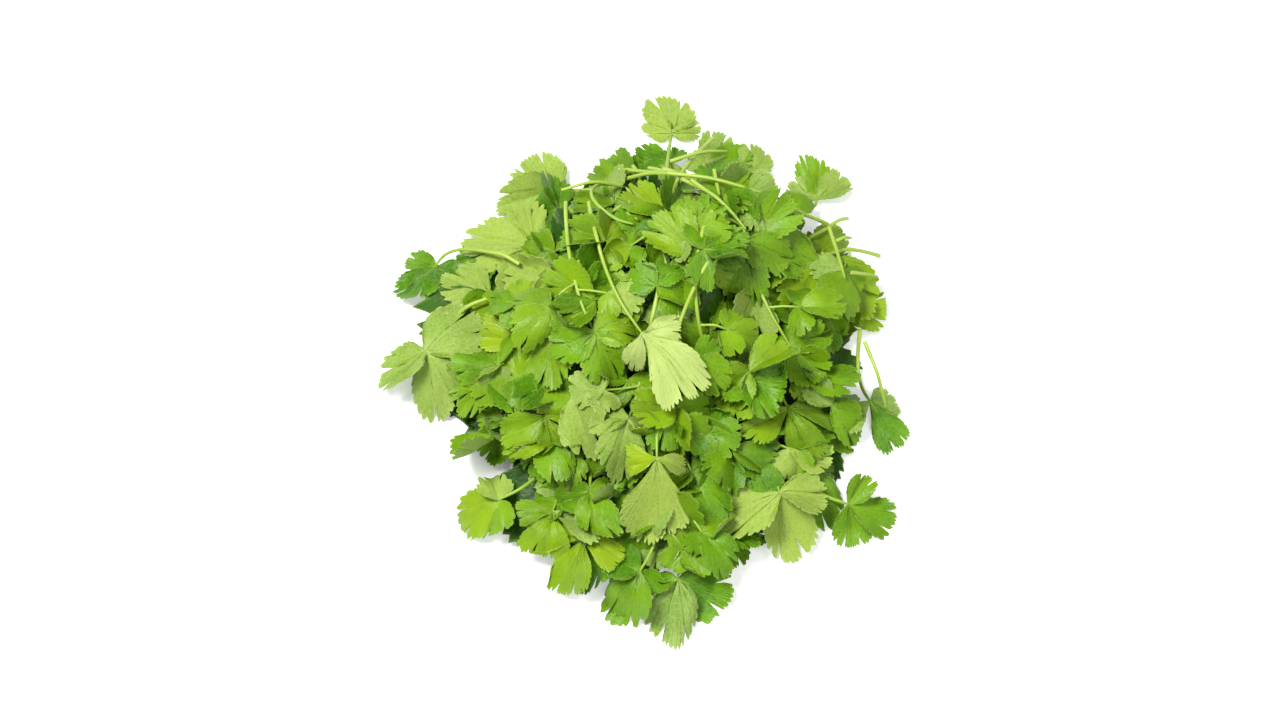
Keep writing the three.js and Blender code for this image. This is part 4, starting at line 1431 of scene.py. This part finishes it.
@dataclass
class LeafletLook:
    """A leaflet's own small features, which its solid doesn't have.

    Attributes:
        fine: its outline.
        turns: of each column of its sheet off the rib, in degrees.
        reaches: of each column, as a share of the length.
        curl: of the edge, upwards, as a share of the length.
        sway: sideways bend of its rib, as a share of the length.
        waves: of its blade, each as (height, way, length, phase), in millimetres and radians.
        ruffle: of its rim, with its phase.
        rim: a part of it that is rolled, or None.
        tone: how yellow it is; for the yellower casts it is partly painted light, and below 0 it is painted
            shade.
        flipped: whether its underside shows.
    """

    CURL = (-0.7, 0.5)
    SWAY = (-0.16, 0.16)
    WAVES = ((1.5, 24), (0.8, 13), (0.45, 7.5))
    WAVE_SHARE = (0.3, 1)
    RUFFLE = (0.02, 0.09)
    TONE = (-0.2, 0.2)
    TURNED_OVER = 0.1
    TOOTH_SIZE = (0.6, 1.4)
    TOOTH_DEPTH = (0.05, 0.1)
    TOOTH_POINT = (1.6, 3)
    GAP_SHIFT = (-5, 4)
    GAP_DEPTH = (0.6, 1.2)
    GAP_FLANK = 1.2
    SMALL_GAP_SHIFT = (14, 26)
    SMALL_GAP_DEPTH = (0, 0.6)
    SWELLS = ((1, 0.09), (2, 0.06), (3, 0.05))
    SWELL_PHASES = 6.3

    fine: FineEdge
    turns: np.ndarray
    reaches: np.ndarray
    curl: float
    sway: float
    waves: list[tuple[float, float, float, float]]
    ruffle: Pair
    rim: RolledRim | None
    tone: float
    flipped: bool

    @classmethod
    def draw(cls, draws: Draws, leaflet: Leaflet, cast: Cast, steps: int) -> "LeafletLook":
        """Draws a leaflet's look.

        Args:
            draws: where its numbers come from.
            leaflet: the leaflet that it belongs to.
            cast: of the leaf.
            steps: of the sheet to a tooth.
        """
        fine = FINE_EDGES[leaflet.edge]
        # The cast's tone: how yellow the leaf is, partly painted light for the yellower casts, and painted
        # shade below 0.
        flipped, yellowness_and_painted_light = cast.value
        turns, reaches = cls._outline(draws, fine, leaflet, steps)
        return cls(
            fine=fine,
            turns=turns,
            reaches=reaches,
            curl=draws.between(cls.CURL),
            sway=draws.between(cls.SWAY),
            waves=[
                (size * draws.between(cls.WAVE_SHARE), draws.turn(), length, draws.turn())
                for size, length in cls.WAVES
            ],
            ruffle=(draws.between(cls.RUFFLE), draws.turn()),
            rim=RolledRim.draw(draws, leaflet),
            tone=yellowness_and_painted_light + draws.between(cls.TONE),
            flipped=flipped != (draws.next() < cls.TURNED_OVER),
        )

    @classmethod
    def _outline(
        cls, draws: Draws, fine: FineEdge, leaflet: Leaflet, steps: int
    ) -> tuple[np.ndarray, np.ndarray]:
        """Draws the outline: lobes with gaps between them, and pointed teeth of uneven sizes."""
        half = fine.hull[-1][0]
        gaps = [side * (fine.gap + draws.between(cls.GAP_SHIFT)) for side in (-1, 1)]
        turns, notches = [], []
        for start, end, teeth in zip((-half, *gaps), (*gaps, half), fine.teeth):
            sizes = np.array([draws.between(cls.TOOTH_SIZE) for _ in range(teeth)])
            bounds = start + (end - start) * np.append(0, np.cumsum(sizes) / sizes.sum())
            for size, first, last in zip(sizes, bounds[:-1], bounds[1:]):
                share = np.arange(steps) / steps
                depth = draws.between(cls.TOOTH_DEPTH) * size
                turns.append(first + (last - first) * share)
                notches.append(depth * np.abs(2 * share - 1) ** draws.between(cls.TOOTH_POINT))
        turns = np.append(np.concatenate(turns), half)
        notches = np.append(np.concatenate(notches), notches[0][0])
        hull_turns, hull_shares = np.array(fine.hull).T
        reach = np.interp(np.abs(turns), hull_turns, hull_shares)
        for waves, most in cls.SWELLS:
            swell = draws.between((-most, most))
            phase = cls.SWELL_PHASES * draws.next()
            reach *= 1 + swell * np.sin(np.radians(waves * turns * 2) + phase)
        gaps += [side * (fine.gap + draws.between(cls.SMALL_GAP_SHIFT)) for side in (-1, 1)]
        depths = [fine.depth * draws.between(cls.GAP_DEPTH) for _ in gaps[:2]]
        depths += [fine.depth * draws.between(cls.SMALL_GAP_DEPTH) for _ in gaps[2:]]
        for gap, depth in zip(gaps, depths):
            reach *= 1 - depth * np.maximum(0, 1 - np.abs(turns - gap) / fine.width) ** cls.GAP_FLANK
        return turns * leaflet.fan, reach * (1 - np.minimum(notches, MOST_NOTCH))


class Fineness(Enum):
    """How finely leaflets are made, as (steps to a tooth, steps from the base to the edge)."""

    WHOLE = (4, 6)
    PARTLY_HIDDEN = (4, 5)
    BETWEEN = (3, 4)
    BENEATH = (2, 3)

    @classmethod
    def of(cls, spec: StemSpec) -> "Fineness":
        """Returns what a stem needs."""
        if spec.cast is Cast.SHADED:
            return cls.BENEATH
        if spec.name.startswith("filling"):
            return cls.BETWEEN
        return cls.WHOLE if spec.name in KEPT_BARE else cls.PARTLY_HIDDEN


@dataclass
class LeafyStem:
    """A leafy stem's piece. Its sizes are in millimetres.

    Attributes:
        laid: the stem as it settled.
        seed: of its small features.
        thickness: of its blades.
        lowest: middle of a blade over the surface.
        stem_sides, stem_steps: round a stem and along it.
        stem_tones: how green a stem is at its cut end and at its leaf.
        end_taper: of a stem's last rings.
        rib_sides, rib_steps: round a leaflet's raised rib and along it.
        rib_radii: at its start and its end.
        rib_reach: share of the leaflet's length that it takes.
        rib_tone: how green it is.
        sharp: the angle of an edge that isn't smoothed, in degrees.
        mesh: the piece so far.
        steps_per_tooth, steps_out: how fine its leaflets are.
    """

    HUB_HALF = 0.5
    EASE = 0.3  # that keeps the ruffle calm near the hub
    RUFFLE_WAVES = 7
    CURL_START = 0.3
    CURL_POWER = 2.2

    laid: LaidStem
    seed: int
    thickness: float = 0.3
    lowest: float = 0.3
    stem_sides: int = 8
    stem_steps: int = 26
    stem_tones: Pair = (0.15, 0.75)
    end_taper: tuple[float, ...] = (0.9, 0.75, 0.55)
    rib_sides: int = 5
    rib_steps: int = 6
    rib_radii: Pair = (0.34, 0.06)
    rib_reach: float = 0.45
    rib_tone: float = 0.8
    sharp: float = 50
    mesh: bmesh.types.BMesh = field(default_factory=bmesh.new)
    steps_per_tooth: int = field(init=False)
    steps_out: int = field(init=False)

    def __post_init__(self) -> None:
        """Sets how fine the leaflets are."""
        self.steps_per_tooth, self.steps_out = Fineness.of(self.laid.spec).value

    def build(self, materials: list[bpy.types.Material]) -> bpy.types.Object:
        """Returns the finished piece.

        Args:
            materials: in the order of Slot.
        """
        draws = Draws(self.seed)
        self._add_layers(self.mesh)
        for leaf in self.laid.leaves:
            for number, leaflet in enumerate(leaf.leaflets):
                settling = Settling(leaf, number)
                look = LeafletLook.draw(draws, leaflet, self.laid.spec.cast, self.steps_per_tooth)
                if self.laid.spec.name in KEPT_BARE:
                    look.rim = None
                    look.curl = min(look.curl, KEPT_CURL)
                self._leaflet(leaf, leaflet, settling, look)
                self._rib(leaf, leaflet, settling, look)
        for course in self.laid.courses:
            points = self._smooth(course.points)
            radii = np.linspace(course.start_radius, course.end_radius, len(points))
            radii[-len(self.end_taper):] *= self.end_taper
            self._tube(points, radii, self.stem_sides, np.linspace(*self.stem_tones, len(points)))
        return self._finish(materials)

    def _add_layers(self, bm: bmesh.types.BMesh) -> None:
        """Adds the layers that the finishes read."""
        bm.loops.layers.uv.new("surface")
        bm.verts.layers.float.new("tone")
        bm.verts.layers.float.new("lobe")

    def _new_part(self) -> bmesh.types.BMesh:
        """Returns a bare mesh for one part of the piece."""
        bm = bmesh.new()
        self._add_layers(bm)
        return bm

    def _keep(self, bm: bmesh.types.BMesh) -> None:
        """Adds a finished part to the piece."""
        data = bpy.data.meshes.new("part")
        bm.to_mesh(data)
        bm.free()
        self.mesh.from_mesh(data)
        bpy.data.meshes.remove(data)

    def _surface(
        self,
        leaf: Leaf,
        leaflet: Leaflet,
        settling: Settling,
        look: LeafletLook,
        column: np.ndarray,
        v: np.ndarray,
    ) -> np.ndarray:
        """Returns rows of x, y and z of places on a leaflet.

        Args:
            leaf, leaflet, settling, look: what the surface belongs to.
            column: the number of the place's column across the fan.
            v: the place from the hub to the edge, 0 to 1.
        """
        u = 2 * column / (len(look.turns) - 1) - 1
        turn = np.radians(look.turns[column])
        reach = look.reaches[column] * leaflet.length
        along = (leaflet.offset * leaflet.length + reach * np.cos(turn)) * v
        across = self.HUB_HALF * u * (1 - v) + reach * np.sin(turn) * v**look.fine.flank
        out = np.hypot(along, across) / (leaflet.length * (1 + leaflet.offset))
        around = np.arctan2(across, along + self.EASE)
        across += look.sway * leaflet.length * out**2
        places = leaflet.places(leaf.laid, along, across)
        places[:, 2] += settling.at(places)
        ruffle, phase = look.ruffle
        curled = out - self.CURL_START
        detail = (
            look.curl * np.abs(curled) ** self.CURL_POWER * np.sign(curled)
            + ruffle * np.sin(self.RUFFLE_WAVES * around + phase) * out**3
        )
        places[:, 2] += detail * leaflet.length
        for height, way, length, phase in look.waves:
            travel = places[:, 0] * math.cos(way) + places[:, 1] * math.sin(way)
            places[:, 2] += height * out * np.sin(2 * math.pi * travel / length + phase)
        if look.rim:
            look.rim.roll(places, leaf.laid)
        places[:, 2] = np.maximum(places[:, 2], self.lowest)
        return places

    def _leaflet(self, leaf: Leaf, leaflet: Leaflet, settling: Settling, look: LeafletLook) -> None:
        """Adds a leaflet."""
        bm = self._new_part()
        columns = len(look.turns) - 1
        grid = bmesh.ops.create_grid(
            bm, x_segments=columns, y_segments=self.steps_out, size=1, calc_uvs=True
        )["verts"]
        flat = np.array([vert.co[:2] for vert in grid])
        column = np.rint((1 - flat[:, 0]) / 2 * columns).astype(int)
        places = self._surface(leaf, leaflet, settling, look, column, (flat[:, 1] + 1) / 2) * MM
        tone = bm.verts.layers.float["tone"]
        lobe = bm.verts.layers.float["lobe"]
        bounds = self.steps_per_tooth * np.cumsum((0, *look.fine.teeth))
        lobes = np.interp(column, bounds, range(LOBES + 1))
        for vert, place, number in zip(grid, places, lobes):
            vert.co = place
            vert[tone] = look.tone
            vert[lobe] = number
        side = Slot.UNDER if look.flipped else Slot.UPPER
        for face in bm.faces:
            face.material_index = side.value
            face.smooth = True
        self._thicken(bm)
        self._keep(bm)

    def _rib(self, leaf: Leaf, leaflet: Leaflet, settling: Settling, look: LeafletLook) -> None:
        """Adds a leaflet's raised rib."""
        v = np.linspace(0, self.rib_reach, self.rib_steps + 1)
        middle = np.full(len(v), len(look.turns) // 2)
        course = self._surface(leaf, leaflet, settling, look, middle, v)
        radii = np.linspace(*self.rib_radii, len(v))
        self._tube(course, radii, self.rib_sides, np.full(len(v), self.rib_tone))

    def _thicken(self, bm: bmesh.types.BMesh) -> None:
        """Gives a sheet its thickness and its other side."""
        half = self.thickness * MM / 2
        bm.normal_update()
        for vert in bm.verts:
            vert.co -= vert.normal * half
        lower = bm.faces[:]
        whole = [*bm.verts, *bm.edges, *lower]
        grown = bmesh.ops.extrude_face_region(bm, geom=whole, use_keep_orig=True)["geom"]
        bm.normal_update()
        for part in grown:
            if isinstance(part, bmesh.types.BMVert):
                part.co += part.normal * 2 * half
        for face in lower:
            face.material_index = 1 - face.material_index
        bmesh.ops.recalc_face_normals(bm, faces=bm.faces)

    def _smooth(self, course: np.ndarray) -> np.ndarray:
        """Returns a smooth course through a settled one's points, with fewer steps where that is short."""
        away = np.append(0, np.cumsum(np.linalg.norm(np.diff(course, axis=0), axis=1)))
        slopes = np.gradient(course, away, axis=0)
        count = self.stem_steps if len(course) > 4 else self.stem_steps // 2
        wanted = np.linspace(0, away[-1], count)
        step = np.clip(np.searchsorted(away, wanted, side="right") - 1, 0, len(away) - 2)
        length = (away[step + 1] - away[step])[:, None]
        t = (wanted[:, None] - away[step][:, None]) / length
        return (
            (2 * t**3 - 3 * t**2 + 1) * course[step]
            + (t**3 - 2 * t**2 + t) * length * slopes[step]
            + (3 * t**2 - 2 * t**3) * course[step + 1]
            + (t**3 - t**2) * length * slopes[step + 1]
        )

    def _tube(self, course: np.ndarray, radii: np.ndarray, sides: int, tones: np.ndarray) -> None:
        """Adds a closed round tube.

        Args:
            course: the points of its middle line.
            radii: at each point.
            sides: round the tube.
            tones: how green it is at each point.
        """
        bm = self._new_part()
        tone = bm.verts.layers.float["tone"]
        ways = np.gradient(course, axis=0)
        ring = bmesh.ops.create_circle(bm, segments=sides, radius=1)["verts"]
        edges = list({edge for vert in ring for edge in vert.link_edges})
        before = Vector((0, 0, 0)), None, 1.0
        for point, way, radius, shade in zip(course, ways, radii, tones):
            turn = Vector(way).to_track_quat("Z", "Y")
            if before[1] is not None:
                grown = bmesh.ops.extrude_edge_only(bm, edges=edges)["geom"]
                ring = [part for part in grown if isinstance(part, bmesh.types.BMVert)]
                edges = [part for part in grown if isinstance(part, bmesh.types.BMEdge)]
            middle = Vector(point * MM)
            for vert in ring:
                local = vert.co - before[0]
                if before[1] is not None:
                    local = before[1].inverted() @ local
                vert.co = middle + turn @ (local * (radius * MM / before[2]))
                vert[tone] = shade
            before = middle, turn, radius * MM
        bmesh.ops.holes_fill(bm, edges=[edge for edge in bm.edges if edge.is_boundary], sides=sides)
        for face in bm.faces:
            face.material_index = Slot.STEM.value
            face.smooth = True
        bmesh.ops.recalc_face_normals(bm, faces=bm.faces)
        self._keep(bm)

    def _finish(self, materials: list[bpy.types.Material]) -> bpy.types.Object:
        """Returns the mesh as an object that rides on the heap and replaces its solid."""
        bm = self.mesh
        for edge in bm.edges:
            edge.smooth = edge.calc_face_angle(0) < math.radians(self.sharp)
        name = "stem_" + self.laid.spec.name
        data = bpy.data.meshes.new("leafy_" + name)
        bm.to_mesh(data)
        bm.free()
        for material in materials:
            data.materials.append(material)
        made = bpy.data.objects.new("leafy_" + name, data)
        bpy.context.scene.collection.objects.link(made)
        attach(made, "root")
        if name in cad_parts:
            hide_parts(name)
        return made


# ---- The studio ----

CAMERA_TARGET = (-0.0018, -0.0033, 0.015)


@dataclass(frozen=True)
class SoftLight:
    """A square light that faces the heap.

    Attributes:
        name: of the light.
        place: of its middle, in metres.
        size: of its side, in metres.
        watts: its power.
    """

    name: str
    place: tuple[float, float, float]
    size: float
    watts: float

    def build(self) -> None:
        """Makes the light."""
        lamp = bpy.data.lights.new(self.name, "AREA")
        lamp.size = self.size
        lamp.energy = self.watts
        made = bpy.data.objects.new(self.name, lamp)
        made.location = self.place
        made.rotation_euler = (-Vector(self.place)).to_track_quat("-Z", "Y").to_euler()
        bpy.context.scene.collection.objects.link(made)


@dataclass
class Studio:
    """The surface, the soft lights and the camera.

    Attributes:
        target: what the camera looks at.
        elevation: of the camera over the horizon, in degrees.
        width: of what it sees at the target, in metres.
        lens: its focal length, in millimetres.
        half: of the surface's side, in metres.
        lights: the lights.
        sky: strength of the white surrounding.
        far: the farthest that the camera sees, in metres.
    """

    target: tuple[float, float, float]
    elevation: float = 70
    width: float = 0.5504
    lens: float = 100
    half: float = 2
    lights: tuple[SoftLight, ...] = (
        SoftLight("key", (-0.42, 0.06, 1.2), 0.4, 24.4),
        SoftLight("fill", (0.7, -0.4, 1.0), 1.2, 8),
    )
    sky: float = 0.24
    far: float = 20

    def build(self) -> None:
        """Makes everything."""
        self._surface()
        for light in self.lights:
            light.build()
        self._sky()
        self._camera()
        bpy.context.scene.view_settings.view_transform = "Standard"

    def _surface(self) -> None:
        """Makes the surface under the heap."""
        bm = bmesh.new()
        bmesh.ops.create_grid(bm, x_segments=1, y_segments=1, size=self.half)
        data = bpy.data.meshes.new("surface")
        bm.to_mesh(data)
        bm.free()
        data.materials.append(SurfaceFinish().build())
        made = bpy.data.objects.new("surface", data)
        bpy.context.scene.collection.objects.link(made)

    def _sky(self) -> None:
        """Makes an even white surrounding."""
        world = bpy.data.worlds.new("studio")
        world.use_nodes = True
        background = world.node_tree.nodes["Background"]
        background.inputs["Color"].default_value = (1, 1, 1, 1)
        background.inputs["Strength"].default_value = self.sky
        bpy.context.scene.world = world

    def _camera(self) -> None:
        """Makes the camera."""
        data = bpy.data.cameras.new("camera")
        data.lens = self.lens
        data.clip_end = self.far
        away = self.width * self.lens / data.sensor_width
        lift = math.radians(self.elevation)
        made = bpy.data.objects.new("camera", data)
        made.location = Vector(self.target) + away * Vector((0, -math.cos(lift), math.sin(lift)))
        made.rotation_euler = (math.radians(90 - self.elevation), 0, 0)
        bpy.context.scene.collection.objects.link(made)
        bpy.context.scene.camera = made


def main() -> None:
    """Builds the heap and the studio."""
    logging.basicConfig(level=logging.INFO, format="%(message)s")
    materials = [UPPER_SIDE.build(), UNDERSIDE.build(), STEM.build()]
    triangles = 0
    for i, laid in enumerate(Heap().lay()):
        made = LeafyStem(laid, seed=FEATURE_SEED + i).build(materials)
        count = sum(len(face.vertices) - 2 for face in made.data.polygons)
        triangles += count
        LOG.info("%s: %d leaves, %d triangles", made.name, len(laid.leaves), count)
    LOG.info("%d triangles in all", triangles)
    Studio(CAMERA_TARGET).build()


if __name__ == "__main__":
    main()
